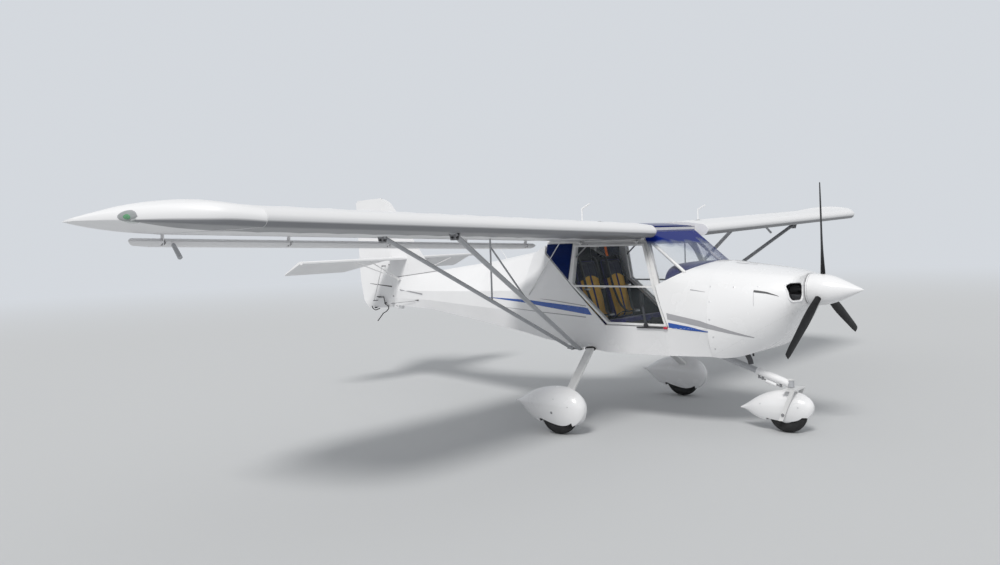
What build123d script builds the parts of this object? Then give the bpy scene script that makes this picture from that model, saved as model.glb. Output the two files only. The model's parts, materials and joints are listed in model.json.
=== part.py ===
from build123d import *
import os
from math import cos, radians, sin

os.makedirs("parts", exist_ok=True)

# Frame: millimetres, +X ahead, +Y to the left wing, +Z up from the ground
# Stations are distances ahead of the main axle; the origin is under the middle of the aircraft
NOSE_STATION = 2058.0
TAIL_STATION = -3597.0
AXLE_X = -(NOSE_STATION + TAIL_STATION) / 2
SIDES = (("left", 1), ("right", -1))
SEAM_GAP = 0.3

# Fuselage
FABRIC_WALL = 12.0
SKIN = 5.0
FIREWALL_STATION = 1050.0
COWL_NOSE_STATION = 1661.0
POST_FOOT_STATION = 130.0
POST_HEAD_STATION = -560.0
POST_HEAD_Z = 1432.0
SCREEN_FOOT = (632.0, 1181.0)
SCREEN_CREST = (945.0, 1347.0)
SCREEN_TOP_STATION = 470.0
SCREEN_APEX = (460.0, 417.0, 1611.0)
SCREEN_CURVE = ((453.0, 0.0), (352.0, 212.0), (26.0, 353.0))
SCREEN_RUNS = 8
SCREEN_TIP_SHARE = 0.015
GLASS = 4.0
COWL_REAR = (726.4, 599.0)

# Cabin side, seen from ahead: it stands to the waist bar and leans in above it
SILL_HALF = 512.0
SILL_Z = 835.0
WAIST_HALF = 492.0
WAIST_Z = 1155.0
ROOF_HALF = 402.0
ROOF_Z = 1540.0
SILL_FLANGE = 62.0
SILL_FLANGE_DEPTH = 25.0
SIDE_BAR = 24.0
SIDE_BAR_WIDTH = 22.0
CENTRE_HALF = 424.0

# Doors: station and height of the corners of each, and their top hinge
DOOR_CORNERS = ((716, 845), (158, 845), (-226, 1172), (-232, 1500), (462, 1500))
DOOR_BAR = 20.0
DOOR_BAR_WIDTH = 16.0
DOOR_CLEARANCE = 5.0
DOOR_LAP = 9.0
DOOR_HINGE_Z = 1516.0
DOOR_HINGE_HALF = 405.0
DOOR_HINGE_STATIONS = (-170.0, 390.0)
HINGE_ROD_RADIUS = 4.0
ROD_CLEARANCE = 0.05
HINGE_LUG_HALF = 7.0
HINGE_LUG_RADIUS = 10.0
BRACKET_GAP = 5.0
BRACKET_WIDTH = 8.0
BRACKET_ROOT_Y = 383.0

# Wings
HALF_SPAN = 4560.0
WING_ROOT = 430.0
TIP_START = HALF_SPAN - 510
LEADING_STATION = 597.0
CHORD = 1114.0
WING_BOTTOM_Z = 1534.0
DIHEDRAL_RISE = 0.0355
NOSE_RISE = 52.0
TOP_RISE = 122.0
TRAILING_DROP = 4.0
TRAILING_THICKNESS = 7.0
TRAILING_STATION = LEADING_STATION - CHORD
VENT_Y = 930.0
LENS_STATIONS = (15.0, 95.0)
LENS_DEPTH = 120.0

# Flaperons, hung below the trailing edge on arms
FLAPERON_INNER = 640.0
FLAPERON_OUTER = HALF_SPAN - 330
FLAPERON_RAKE = 250.0
FLAPERON_CHORD = 275.0
FLAPERON_THICKNESS = 38.0
FLAPERON_NOSE_STATION = -472.0
FLAPERON_NOSE_DROP = 46.0
FLAPERON_DROOP = 5.0
HINGE_STATION = -504.0
HINGE_DROP = 54.0
HINGE_RIBS = (HALF_SPAN - 547, 3150.0, 2300.0, 1480.0, 740.0)
ARM_THICKNESS = 8.0
ARM_WIDTH = 26.0
ARM_CLEARANCE = 6.0
FLAPERON_RAKE_LEAD = 25.0
NOTCH_DEPTH = 10.0
BALANCE_Y = HINGE_RIBS[0] - 45
BALANCE_END = (-398.0, 140.0)
BALANCE_RADIUS = 7.0

# Struts
STRUT_TOP_Y = 2623.0
STRUT_TOP_STATIONS = (456.0, -218.0)
STRUT_FOOT_Y = 476.0
STRUT_FOOT_Z = 612.0
STRUT_FOOT_STATIONS = (-160.0, -240.0)
STRUT_CHORD = 58.0
STRUT_THICKNESS = 26.0
JURY_Y = 1500.0
JURY_RADIUS = 7.0
JURY_STATION = -230.0
JURY_CROSS_Z = 1520.0
JURY_REACH = (104.0, 1130.0)

# Wheels and legs
HALF_TRACK = 990.0
WHEELBASE = 1474.0
NOSE_TYRE_RADIUS = 152.0
NOSE_TYRE_HALF_WIDTH = 46.0
NOSE_RIM_RADIUS = 72.0
NOSE_RIM_HALF_WIDTH = 40.0
TYRE_RADIUS = 170.0
TYRE_HALF_WIDTH = 52.0
RIM_RADIUS = 84.0
RIM_HALF_WIDTH = 44.0
AXLE_RADIUS = 10.0
PANT_WALL = 4.0
PANT_FLAT_SHARE = 0.55
PANT_FLANK_SHARE = 0.82
PANT_CROWN_SHARE = 0.68
LEG_CHORD = 78.0
LEG_THICKNESS = 24.0
LEG_TOP_Z = 652.0
LEG_ROOT_Y = 120.0
LEG_BEND_Y = 455.0
STEER_STATION = WHEELBASE + 26
FORK_HALF = 103.0
FORK_BAR = 12.0
FORK_WIDTH = 34.0
FORK_LEAN = 0.4
CROWN_Z = 338.0
CROWN_THICKNESS = 14.0
HEAD_RADIUS = 25.0
HEAD_TOP_Z = 405.0
STEM_RADIUS = 14.0
NOSE_LEG_RADIUS = 21.0
NOSE_LEG_ROOT = (905.0, 570.0)
NOSE_LEG_FOOT_Z = 378.0
LEG_TOP_STATION = -42.0
LEG_FOOT = (45.0, HALF_TRACK - 74, 322.0)
LEG_PLATE_YS = (HALF_TRACK - 87, HALF_TRACK - 74)
AXLE_END_Y = HALF_TRACK + 50
MAIN_MOUTH = (-165.0, 158.0)
NOSE_MOUTH = (WHEELBASE - 158.0, WHEELBASE + 160.0)

# Propeller
THRUST_Z = 1118.0
PROP_STATION = 1758.0
SPINNER_RADIUS = 121.0
SPINNER_BASE_STATION = 1668.0
SPINNER_PLATE = 6.0
SPINNER_WALL = 8.0
PROP_RADIUS = 800.0
BLADE_PHASE = -2.2
BLADES = 3
HUB_RADIUS = 62.0
HUB_HALF_LENGTH = 38.0
SHAFT_RADIUS = 42.0
SHAFT_CLEARANCE = 5.0
SPIGOT_RADIUS = 14.0

# Tail
FIN_HALF = 22.0
RUDDER_FOOT = (-2985.0, 870.0)
RUDDER_HEAD = (-3170.0, 2040.0)
TAIL_NOSE_RADIUS = 13.0
TAIL_GAP = 5.0
STAB_Z = 1400.0
STAB_HALF_SPAN = 1248.0
STAB_THICKNESS = 32.0
STAB_ROOT_STATION = -2760.0
STAB_TIP_STATION = -2962.0
ELEVATOR_HINGE_STATION = -3020.0
ELEVATOR_CHORD = 300.0
ELEVATOR_DROOP = 25.0
EYE_PIN_RADIUS = 5.0
ELEVATOR_EYE_Y = 700.0
TORQUE_TUBE_RADIUS = 12.0
RUDDER_EYES = (985.0, 1330.0, 1900.0)
RUDDER_FOOT_Z = 862.0
RUDDER_TOP_Z = 2070.0
FIN_TOP_Z = 2062.0
FIN_FOOT_Z = 888.0
BRACE_FOOT = (-2870.0, 40.0, 1170.0)
BRACE_TOPS = ((-2892.0, 466.0), (-2790.0, 761.0))
BRACE_RADIUS = 5.0


def at(station):
    """Row X of a station ahead of the main axle."""
    return AXLE_X + station


def across(station):
    """Upright plane across the aircraft; its x is row Y and its y is row Z."""
    return Plane(origin=(at(station), 0, 0), x_dir=(0, 1, 0), z_dir=(1, 0, 0))


def side_plane(y):
    """Upright plane along the aircraft; its x is row X and its y is row Z."""
    return Plane.XZ.offset(-y)


def finish(piece, label):
    """Name a finished piece and write its file."""
    piece.part.label = label
    export_step(piece.part, f"parts/{label}.step")


def polygon(points):
    """Draw a closed outline of straight edges in the current sketch."""
    with BuildLine(Plane.XY) as outline:
        Polyline(*points, close=True)
    make_face(outline.edges())


def profile(points):
    """Draw a closed side outline given in stations and heights."""
    polygon([(at(station), z) for station, z in points])


def mirrored(half):
    """A symmetric section's outline from its left half, given from the bottom up."""
    return list(half) + [(-y, z) for y, z in reversed(half) if y]


def wing_bottom(y):
    """Height of the wing's flat underside at a distance from the centre line."""
    return WING_BOTTOM_Z + DIHEDRAL_RISE * abs(y)


def fuselage_outline(row, inset):
    """Draw one fuselage section, moved inwards by a wall."""
    station, bottom, bottom_half, sill, sill_half, waist, waist_half, shoulder, shoulder_half, ridge = row
    polygon(mirrored((
        (bottom_half - inset, bottom + inset),
        (sill_half - inset, sill),
        (waist_half - inset, waist),
        (shoulder_half - inset, shoulder - inset),
        (0, ridge - inset),
    )))


def cowling_outline(row, inset):
    """Draw one cowling section with full sides, round shoulders and a flatter top, moved inwards by a skin."""
    station, bottom, bottom_half, side, side_half, shoulder, shoulder_half, ridge = row
    low = (bottom_half - inset, bottom + inset)
    mid = (side_half - inset, side)
    high = (shoulder_half - inset, shoulder - inset / 2)
    brow = (high[0] * BROW_SHARES[0], high[1] + (ridge - inset - high[1]) * BROW_SHARES[1])
    with BuildLine(Plane.XY) as outline:
        Line((-low[0], low[1]), low)
        ThreePointArc(low, mid, high)
        top = ThreePointArc(brow, (0, ridge - inset), (-brow[0], brow[1]))
        start = top % 0
        TangentArc(brow, high, tangent=(-start.X, -start.Y))
        TangentArc((-brow[0], brow[1]), (-high[0], high[1]), tangent=top % 1)
        ThreePointArc((-high[0], high[1]), (-mid[0], mid[1]), (-low[0], low[1]))
    make_face(outline.edges())


def nose_row(turn):
    """Cowling section at an angle of the nose's turn."""
    ahead = sin(radians(turn))
    inward = 1 - cos(radians(turn))
    ends = zip(COWLING[-1], NOSE_TAPER, NOSE_FRONT)
    return tuple(start + (taper - start) * ahead + (front - taper) * inward for start, taper, front in ends)


def wing_drop(station):
    """Fall of the wing's underside behind its nose at a station."""
    belly = LEADING_STATION - NOSE_RISE
    return TRAILING_DROP * (belly - station) / (belly - LEADING_STATION + CHORD)


def blade_plane(radius, pitch, angle):
    """Plane across a blade: its x points from trailing to leading edge and its z out along the blade."""
    out = Vector(0, sin(radians(angle)), cos(radians(angle)))
    turn = Vector(0, -cos(radians(angle)), sin(radians(angle)))
    lead = turn * cos(radians(pitch)) + Vector(1, 0, 0) * sin(radians(pitch))
    return Plane(origin=Vector(at(PROP_STATION), 0, THRUST_Z) + out * radius, x_dir=lead, z_dir=out)


def lens(chord, thickness):
    """Draw a blade section of two arcs."""
    with BuildLine(Plane.XY) as outline:
        ThreePointArc((-chord / 2, 0), (0, thickness * 0.65), (chord / 2, 0))
        ThreePointArc((chord / 2, 0), (0, -thickness * 0.35), (-chord / 2, 0))
    make_face(outline.edges())


def screen_outline(apex, share):
    """Draw the windscreen's section where its side cones have shrunk to a share of the foot's."""
    with BuildLine(Plane.XY) as curve:
        ThreePointArc(*[(y, -ahead) for y, ahead in SCREEN_CURVE])
    edge = curve.edges()[0]
    outer, inner = [], []
    for run in range(SCREEN_RUNS + 1):
        point = edge.position_at(run / SCREEN_RUNS)
        way = edge.tangent_at(run / SCREEN_RUNS)
        place = (apex.X + (point.X - apex.X) * share, apex.Y + (point.Y - apex.Y) * share)
        outer.append(place)
        inner.append((place[0] + way.Y * GLASS, place[1] - way.X * GLASS))
    sides = [outer + [(-x, y) for x, y in reversed(outer)], inner + [(-x, y) for x, y in reversed(inner)]]
    polygon(sides[0] + sides[1][::-1])


def wing_outline(nose_station, chord, bottom, share):
    """Draw a wing section: flat bottom, round nose and arched top; share scales its thickness."""
    rise = NOSE_RISE * share
    crest_rise = TOP_RISE * share
    nose = (at(nose_station), bottom + rise)
    belly = (at(nose_station) - rise, bottom)
    tail_low = (at(nose_station - chord), bottom - TRAILING_DROP * share)
    tail_high = (tail_low[0], tail_low[1] + TRAILING_THICKNESS * share)
    crest = (at(nose_station - chord * 0.3), bottom + crest_rise)
    brow = (at(nose_station - chord * 0.05), bottom + crest_rise * 0.8)
    with BuildLine(Plane.XY) as outline:
        Line(belly, tail_low)
        Line(tail_low, tail_high)
        TangentArc(crest, tail_high, tangent=(-1, 0))
        brow_arc = TangentArc(crest, brow, tangent=(1, 0))
        TangentArc(brow, nose, tangent=brow_arc % 1)
        ThreePointArc(nose, (nose[0] - rise * 0.3, bottom + rise * 0.29), belly)
    make_face(outline.edges())


def rod(start, end, radius, mode=Mode.ADD):
    """Add a round rod between two points to the current piece."""
    way = Vector(end) - Vector(start)
    with BuildSketch(Plane(origin=start, z_dir=way)) as disc:
        Circle(radius)
    extrude(disc.sketch, amount=way.length, mode=mode)


def block(stations, ys, zs, mode=Mode.ADD):
    """Add a plain block between two stations, two widths and two heights to the current piece."""
    size = (stations[1] - stations[0], ys[1] - ys[0], zs[1] - zs[0])
    with Locations((at(stations[0]), ys[0], zs[0])):
        Box(*size, align=(Align.MIN, Align.MIN, Align.MIN), mode=mode)


def side_band(shift, thickness, sign):
    """Draw the bent cabin side seen from ahead, moved inwards and given a thickness."""
    outer = ((SILL_HALF + 1.3, SILL_Z - 20), (WAIST_HALF, WAIST_Z), (ROOF_HALF, ROOF_Z + 5))
    points = [(sign * (y - shift), z) for y, z in outer]
    points += [(sign * (y - shift - thickness), z) for y, z in reversed(outer)]
    polygon(points)


def inset_profile(points, amount, mode=Mode.ADD):
    """Draw a closed side outline moved inwards by an amount."""
    with BuildSketch(Plane.XY) as plain:
        profile(points)
        offset(amount=-amount, kind=Kind.INTERSECTION, mode=Mode.REPLACE)
    add(plain.sketch, mode=mode)


def sign_range(sign, inner, outer):
    """Two widths on one side, in rising order."""
    return sorted((sign * inner, sign * outer))


def hinge_point(sign, y):
    """Point on a flaperon's hinge line at a width."""
    return (at(HINGE_STATION), sign * y, wing_bottom(y) - HINGE_DROP)


def pant_outline(half_width, half_height):
    """Draw a wheel pant's section: a round top, full sides and a flat underside."""
    crown = (half_width * PANT_CROWN_SHARE, half_height * PANT_CROWN_SHARE)
    flank = (half_width * PANT_FLANK_SHARE, -half_height * 0.64)
    keel = half_width * PANT_FLAT_SHARE
    with BuildLine(Plane.XY) as outline:
        ThreePointArc((half_width, 0), crown, (0, half_height))
        ThreePointArc((0, half_height), (-crown[0], crown[1]), (-half_width, 0))
        ThreePointArc((-half_width, 0), (-flank[0], flank[1]), (-keel, -half_height))
        Line((-keel, -half_height), (keel, -half_height))
        ThreePointArc((keel, -half_height), flank, (half_width, 0))
    make_face(outline.edges())


def pant_loft(rows, station_shift, y, inset, mode=Mode.ADD):
    """Loft a wheel pant through its sections, moved inwards by a wall."""
    cuts = []
    for place, (station, middle, half_height, half_width) in enumerate(rows):
        end_shift = {0: 4 * inset, len(rows) - 1: -inset}.get(place, 0)
        section = Plane(origin=(at(station + station_shift + end_shift), y, middle), x_dir=(0, 1, 0), z_dir=(1, 0, 0))
        with BuildSketch(section) as cut:
            pant_outline(max(half_width - inset, 1), max(half_height - inset, 1))
        cuts.append(cut.sketch.face())
    loft(cuts, mode=mode)


def leg_slope(sign, grow, mode=Mode.ADD):
    """The sloping run of a main gear leg, grown all round by a clearance."""
    cuts = []
    for station, y, z in ((LEG_TOP_STATION, LEG_BEND_Y, LEG_TOP_Z), LEG_FOOT):
        with BuildSketch(side_plane(sign * y)) as cut:
            with Locations((at(station), z)):
                RectangleRounded(LEG_CHORD + 2 * grow, 1.25 * LEG_THICKNESS + 2 * grow, 10)
        cuts.append(cut.sketch.face())
    loft(cuts, ruled=True, mode=mode)


def leg_plate(sign, grow, mode=Mode.ADD):
    """The upright plate from a leg's foot down to its axle, grown all round by a clearance."""
    with BuildSketch(side_plane(sign * (LEG_PLATE_YS[0] - grow))) as cut:
        profile(((84 + grow, 335), (8 - grow, 335), (-24 - grow, 150 - grow), (24 + grow, 150 - grow)))
    extrude(cut.sketch, amount=-sign * (LEG_PLATE_YS[1] - LEG_PLATE_YS[0] + 2 * grow), mode=mode)


def tyre(station, y, radius, half_width, bead_radius):
    """A round-shouldered tyre seated on its rim."""
    low = bead_radius + SEAM_GAP
    with BuildSketch(Plane.XY) as cut:
        with BuildLine(Plane.XY) as outline:
            Line((low, -half_width * 0.8), (low, half_width * 0.8))
            ThreePointArc((low, half_width * 0.8), (radius * 0.78, half_width), (radius * 0.95, half_width * 0.62))
            ThreePointArc((radius * 0.95, half_width * 0.62), (radius, 0), (radius * 0.95, -half_width * 0.62))
            ThreePointArc((radius * 0.95, -half_width * 0.62), (radius * 0.78, -half_width), (low, -half_width * 0.8))
        make_face(outline.edges())
    spun = revolve(cut.sketch, axis=Axis.Y, mode=Mode.PRIVATE)
    add(Location((at(station), y, radius)) * spun)


def rim(station, y, axle_z, radius, half_width):
    """A dished rim with a hub, bored for its axle."""
    hub = AXLE_RADIUS + ROD_CLEARANCE
    with BuildSketch(Plane.XY) as cut:
        polygon([(hub, -half_width), (hub + 14, -half_width), (hub + 14, half_width), (hub, half_width)])
        polygon([(hub + 2, -6), (radius - 2, -6), (radius - 2, 6), (hub + 2, 6)])
        polygon([(radius - 9, -half_width), (radius, -half_width), (radius, half_width), (radius - 9, half_width)])
    spun = revolve(cut.sketch, axis=Axis.Y, mode=Mode.PRIVATE)
    add(Location((at(station), y, axle_z)) * spun)


def tapered_outline(nose, chord, thickness, droop):
    """Draw a round-nosed, thin-tailed section turned nose-up by a droop."""
    def turned(back, up):
        angle = radians(droop)
        return (nose[0] - back * cos(angle) - up * sin(angle), nose[1] - back * sin(angle) + up * cos(angle))

    front = chord * 0.3
    with BuildLine(Plane.XY) as outline:
        ThreePointArc(turned(0, 0), turned(chord * 0.08, thickness * 0.4), turned(front, thickness * 0.55))
        Line(turned(front, thickness * 0.55), turned(chord, 3))
        Line(turned(chord, 3), turned(chord, -3))
        Line(turned(chord, -3), turned(front, -thickness * 0.45))
        ThreePointArc(turned(front, -thickness * 0.45), turned(chord * 0.08, -thickness * 0.33), turned(0, 0))
    make_face(outline.edges())


def rudder_hinge(z, ahead=0.0):
    """Station of the leaning rudder hinge line at a height."""
    lean = (RUDDER_HEAD[0] - RUDDER_FOOT[0]) / (RUDDER_HEAD[1] - RUDDER_FOOT[1])
    return RUDDER_FOOT[0] + lean * (z - RUDDER_FOOT[1]) + ahead


def rudder_point(z):
    """Point on the rudder's hinge line at a height."""
    return (at(rudder_hinge(z)), 0, z)


# Fuselage sections: station, bottom height and half width, sill height and half width,
# waist height and half width, shoulder height and half width, ridge height
FUSELAGE = (
    (131, 603, 470, SILL_Z, SILL_HALF, WAIST_Z, WAIST_HALF, ROOF_Z - 4, ROOF_HALF, ROOF_Z),
    (-560, 676, 425, 890, 450, 1120, 446, 1500, 398, 1530),
    (-850, 717, 365, 905, 396, 1100, 392, 1430, 200, 1462),
    (-1500, 790, 250, 930, 288, 1077, 286, 1322, 75, 1357),
    (-2300, 872, 130, 965, 158, 1058, 157, 1248, 36, 1265),
    (-2920, 887, 45, 966, 50, 1045, 50, 1190, 27, 1200),
)


# Rear fuselage: fabric over a frame, open ahead along the slanted door post, with the strut lugs
STRUT_LUG_HALF = STRUT_FOOT_Y - SEAM_GAP
with BuildPart() as rear_fuselage:
    for row in FUSELAGE:
        with BuildSketch(across(row[0])):
            fuselage_outline(row, 0)
    loft(ruled=True)
    for row in FUSELAGE[:-1]:
        with BuildSketch(across(row[0])):
            fuselage_outline(row, FABRIC_WALL)
    loft(ruled=True, mode=Mode.SUBTRACT)
    with BuildSketch(Plane.XZ):
        profile((
            (POST_FOOT_STATION + 5, SILL_Z),
            (POST_FOOT_STATION, SILL_Z),
            (POST_HEAD_STATION, POST_HEAD_Z),
            (POST_HEAD_STATION, ROOF_Z + 50),
            (POST_FOOT_STATION + 5, ROOF_Z + 50),
        ))
        profile((
            (POST_FOOT_STATION, 500),
            (POST_FOOT_STATION, ROOF_Z),
            (POST_FOOT_STATION + 50, ROOF_Z),
            (POST_FOOT_STATION + 50, 500),
        ))
    extrude(amount=SILL_HALF + 50, both=True, mode=Mode.SUBTRACT)
    for side, sign in SIDES:
        for station in STRUT_FOOT_STATIONS:
            with BuildSketch(side_plane(sign * STRUT_LUG_HALF)):
                with Locations((at(station), STRUT_FOOT_Z + 22)):
                    RectangleRounded(30, 66, 10)
            extrude(amount=sign * 42)
        leg_slope(sign, SEAM_GAP, Mode.SUBTRACT)
        half = 1.25 * LEG_THICKNESS / 2 + SEAM_GAP
        block(
            (LEG_TOP_STATION - LEG_CHORD / 2 - SEAM_GAP, LEG_TOP_STATION + LEG_CHORD / 2 + SEAM_GAP),
            sign_range(sign, LEG_BEND_Y - 20, LEG_BEND_Y + 1),
            (LEG_TOP_Z - half, LEG_TOP_Z + half),
            Mode.SUBTRACT,
        )
finish(rear_fuselage, "rear_fuselage")

# Lower body: floor and sides up to the door sills; rows of station, bottom height and half width, sill half width
LOWER_BODY = (
    (POST_FOOT_STATION + SEAM_GAP, 603, 470, SILL_HALF),
    (700, 606, 455, SILL_HALF),
    (FIREWALL_STATION - SEAM_GAP, 612, 398, 486),
)
with BuildPart() as lower_body:
    for station, bottom, bottom_half, sill_half in LOWER_BODY:
        with BuildSketch(across(station)):
            polygon(mirrored(((bottom_half, bottom), (sill_half, SILL_Z))))
    loft(ruled=True)
    for step, (station, bottom, bottom_half, sill_half) in enumerate(LOWER_BODY):
        with BuildSketch(across(station + (step - 1))):
            polygon(mirrored((
                (bottom_half - FABRIC_WALL, bottom + FABRIC_WALL),
                (sill_half - FABRIC_WALL, SILL_Z - SILL_FLANGE_DEPTH),
                (sill_half - SILL_FLANGE, SILL_Z - SILL_FLANGE_DEPTH),
                (sill_half - SILL_FLANGE, SILL_Z + 1),
            )))
    loft(ruled=True, mode=Mode.SUBTRACT)
finish(lower_body, "lower_body")

# Cowling sections: station, bottom height and half width, side height and half width,
# shoulder height and half width, ridge height; the brow lies between shoulder and ridge
BROW_SHARES = (0.72, 0.68)
COWLING = (
    (590, 600, 470, 880, 514, 1200, 462, 1357),
    (FIREWALL_STATION, 612, 398, 900, 488, 1168, 425, 1345),
    (1210, 610, 310, 920, 452, 1164, 400, 1322),
    (1380, 668, 230, 950, 412, 1162, 365, 1302),
    (1500, 747, 190, 1008, 374, 1166, 336, 1286),
    (1610, 897, 160, 1072, 332, 1174, 298, 1264),
)
# The nose turns from the last section's taper, as it would run on, to a narrower front
NOSE_TAPER = (COWL_NOSE_STATION, 1006, 138, 1103, 312, 1180, 279, 1253)
NOSE_FRONT = (COWL_NOSE_STATION, 1016, 104, 1110, 214, 1180, 184, 1241)
NOSE_TURNS = (0, 30, 52, 70, 82, 90)
COWL_SPLIT = ((1000, 590), (1700, 1000))
INLET_Y = 231.0
INLET_SIZE = (166.0, 130.0)
INLET_RADIUS = 42.0
INLET_STATION = 1596.0
SHAFT_HOLE = 68.0


# Boot cowl: skin from the door posts to the firewall, cut along the foot of the windscreen
with BuildPart() as boot_cowl:
    for row in COWLING[:2]:
        with BuildSketch(across(row[0])):
            cowling_outline(row, 0)
    loft(ruled=True)
    for row in COWLING[:2]:
        with BuildSketch(across(row[0])):
            cowling_outline(row, SKIN)
    loft(ruled=True, mode=Mode.SUBTRACT)
    foot_slope = (SCREEN_CREST[1] - SCREEN_FOOT[1]) / (SCREEN_CREST[0] - SCREEN_FOOT[0])
    with BuildSketch(Plane.XZ):
        profile(((500, 400), (FIREWALL_STATION + 50, 400), (FIREWALL_STATION + 50, SILL_Z + SEAM_GAP),
                 (500, SILL_Z + SEAM_GAP)))
        profile((
            (500, SILL_Z),
            (COWL_REAR[0], SILL_Z),
            (COWL_REAR[1], SCREEN_FOOT[1] - foot_slope * (SCREEN_FOOT[0] - COWL_REAR[1])),
            SCREEN_CREST,
            (SCREEN_CREST[0], 1500),
            (500, 1500),
        ))
    extrude(amount=600, both=True, mode=Mode.SUBTRACT)
finish(boot_cowl, "boot_cowl")

# Cowlings: upper and lower shells parted on a rising line, with inlets beside the spinner
for name, cut_z in (("upper_cowling", 300), ("lower_cowling", 1600)):
    gap = SEAM_GAP / 2 if name == "upper_cowling" else -SEAM_GAP / 2
    with BuildPart() as cowling:
        for inset, mode in ((0, Mode.ADD), (SKIN, Mode.SUBTRACT)):
            for row in COWLING[1:]:
                with BuildSketch(across(row[0])):
                    cowling_outline(row, inset)
            loft(mode=mode)
            for turn in NOSE_TURNS:
                row = nose_row(turn)
                with BuildSketch(across(row[0] - inset * sin(radians(turn)))):
                    cowling_outline(row, inset)
            loft(ruled=True, mode=mode)
        with BuildSketch(across(INLET_STATION)):
            with Locations((0, THRUST_Z)):
                Circle(SHAFT_HOLE)
            for side, sign in SIDES:
                with Locations((sign * INLET_Y, THRUST_Z)):
                    RectangleRounded(*INLET_SIZE, INLET_RADIUS)
        extrude(amount=100, mode=Mode.SUBTRACT)
        with BuildSketch(Plane.XZ):
            profile((
                (COWL_SPLIT[0][0], COWL_SPLIT[0][1] + gap),
                (COWL_SPLIT[1][0], COWL_SPLIT[1][1] + gap),
                (COWL_SPLIT[1][0], cut_z),
                (COWL_SPLIT[0][0], cut_z),
            ))
            profile(((900, 300), (FIREWALL_STATION + SEAM_GAP, 300), (FIREWALL_STATION + SEAM_GAP, 1600), (900, 1600)))
        extrude(amount=600, both=True, mode=Mode.SUBTRACT)
    finish(cowling, name)

# Firewall: half outline from the floor up, drawn in at the sill flange
FIREWALL_HALF = (
    (384, 624.1),
    (452, 806),
    (421, 808),
    (421, 838),
    (462, 842),
    (458, 980),
    (410, 1140),
    (250, 1255),
    (0, 1318),
)

# Firewall behind the engine, standing on the floor
with BuildPart() as firewall:
    with BuildSketch(across(FIREWALL_STATION - 14)):
        polygon(mirrored(FIREWALL_HALF))
    extrude(amount=4)
finish(firewall, "firewall")

# Engine: one block on its mount, with the propeller shaft
with BuildPart() as engine:
    with BuildSketch(across(FIREWALL_STATION - 9.7)):
        with Locations((0, 1010)):
            RectangleRounded(260, 200, 20)
    extrude(amount=110)
    with BuildSketch(across(FIREWALL_STATION + 90)):
        with Locations((0, 1050)):
            RectangleRounded(470, 280, 40)
    extrude(amount=380)
    with BuildSketch(across(FIREWALL_STATION + 460)):
        with Locations((0, THRUST_Z)):
            Circle(SHAFT_RADIUS)
    extrude(amount=SPINNER_BASE_STATION - SHAFT_CLEARANCE - FIREWALL_STATION - 460)
    with BuildSketch(across(FIREWALL_STATION + 460)):
        with Locations((0, THRUST_Z)):
            Circle(SPIGOT_RADIUS)
    extrude(amount=PROP_STATION + HUB_HALF_LENGTH - 5 - FIREWALL_STATION - 460)
finish(engine, "engine")


# Spinner: a pointed shell on a back plate, slotted for the blades; rows of distance ahead and radius
SPINNER_SLOT = (62.0, 52.0)
SPINNER_ROWS = (
    (0, SPINNER_RADIUS),
    (75, SPINNER_RADIUS),
    (150, 108),
    (225, 82),
    (300, 49),
    (355, 21),
    (NOSE_STATION - SPINNER_BASE_STATION, 0),
)
with BuildPart() as spinner:
    base = at(SPINNER_BASE_STATION)
    bore = THRUST_Z - SPIGOT_RADIUS - ROD_CLEARANCE
    outer = [(base + ahead, THRUST_Z - radius) for ahead, radius in SPINNER_ROWS]
    inner = [(x - SPINNER_PLATE, z + SPINNER_WALL) for x, z in outer[1:-1]]
    with BuildSketch(Plane.XZ):
        polygon([
            (base, bore),
            *outer,
            (outer[-1][0] - 4 * SPINNER_WALL, THRUST_Z),
            *reversed(inner),
            (base + SPINNER_PLATE, THRUST_Z - SPINNER_RADIUS + SPINNER_WALL),
            (base + SPINNER_PLATE, bore),
        ])
    revolve(axis=Axis((0, 0, THRUST_Z), (1, 0, 0)))
    for step in range(BLADES):
        with BuildSketch(blade_plane(0, 0, BLADE_PHASE + step * 360 / BLADES)):
            Rectangle(*SPINNER_SLOT)
        extrude(amount=SPINNER_RADIUS * 1.5, mode=Mode.SUBTRACT)
finish(spinner, "spinner")

# Propeller blades on their hub: rows of radius, chord, thickness and pitch
BLADE_ROWS = (
    (40, 50, 38, 42),
    (150, 52, 32, 36),
    (260, 68, 22, 27),
    (480, 72, 14, 19),
    (690, 61, 10, 14),
    (PROP_RADIUS, 45, 6, 12),
)
with BuildPart() as propeller_blades:
    with BuildSketch(across(SPINNER_BASE_STATION + SPINNER_PLATE)):
        with Locations((0, THRUST_Z)):
            Circle(HUB_RADIUS)
    extrude(amount=PROP_STATION + HUB_HALF_LENGTH - SPINNER_BASE_STATION - SPINNER_PLATE)
    for step in range(BLADES):
        for radius, chord, thickness, pitch in BLADE_ROWS:
            with BuildSketch(blade_plane(radius, pitch, BLADE_PHASE + step * 360 / BLADES)):
                lens(chord, thickness)
        loft()
    with BuildSketch(across(SPINNER_BASE_STATION)):
        with Locations((0, THRUST_Z)):
            Circle(SPIGOT_RADIUS + ROD_CLEARANCE)
    extrude(amount=2 * (PROP_STATION - SPINNER_BASE_STATION), mode=Mode.SUBTRACT)
finish(propeller_blades, "propeller_blades")

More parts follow.
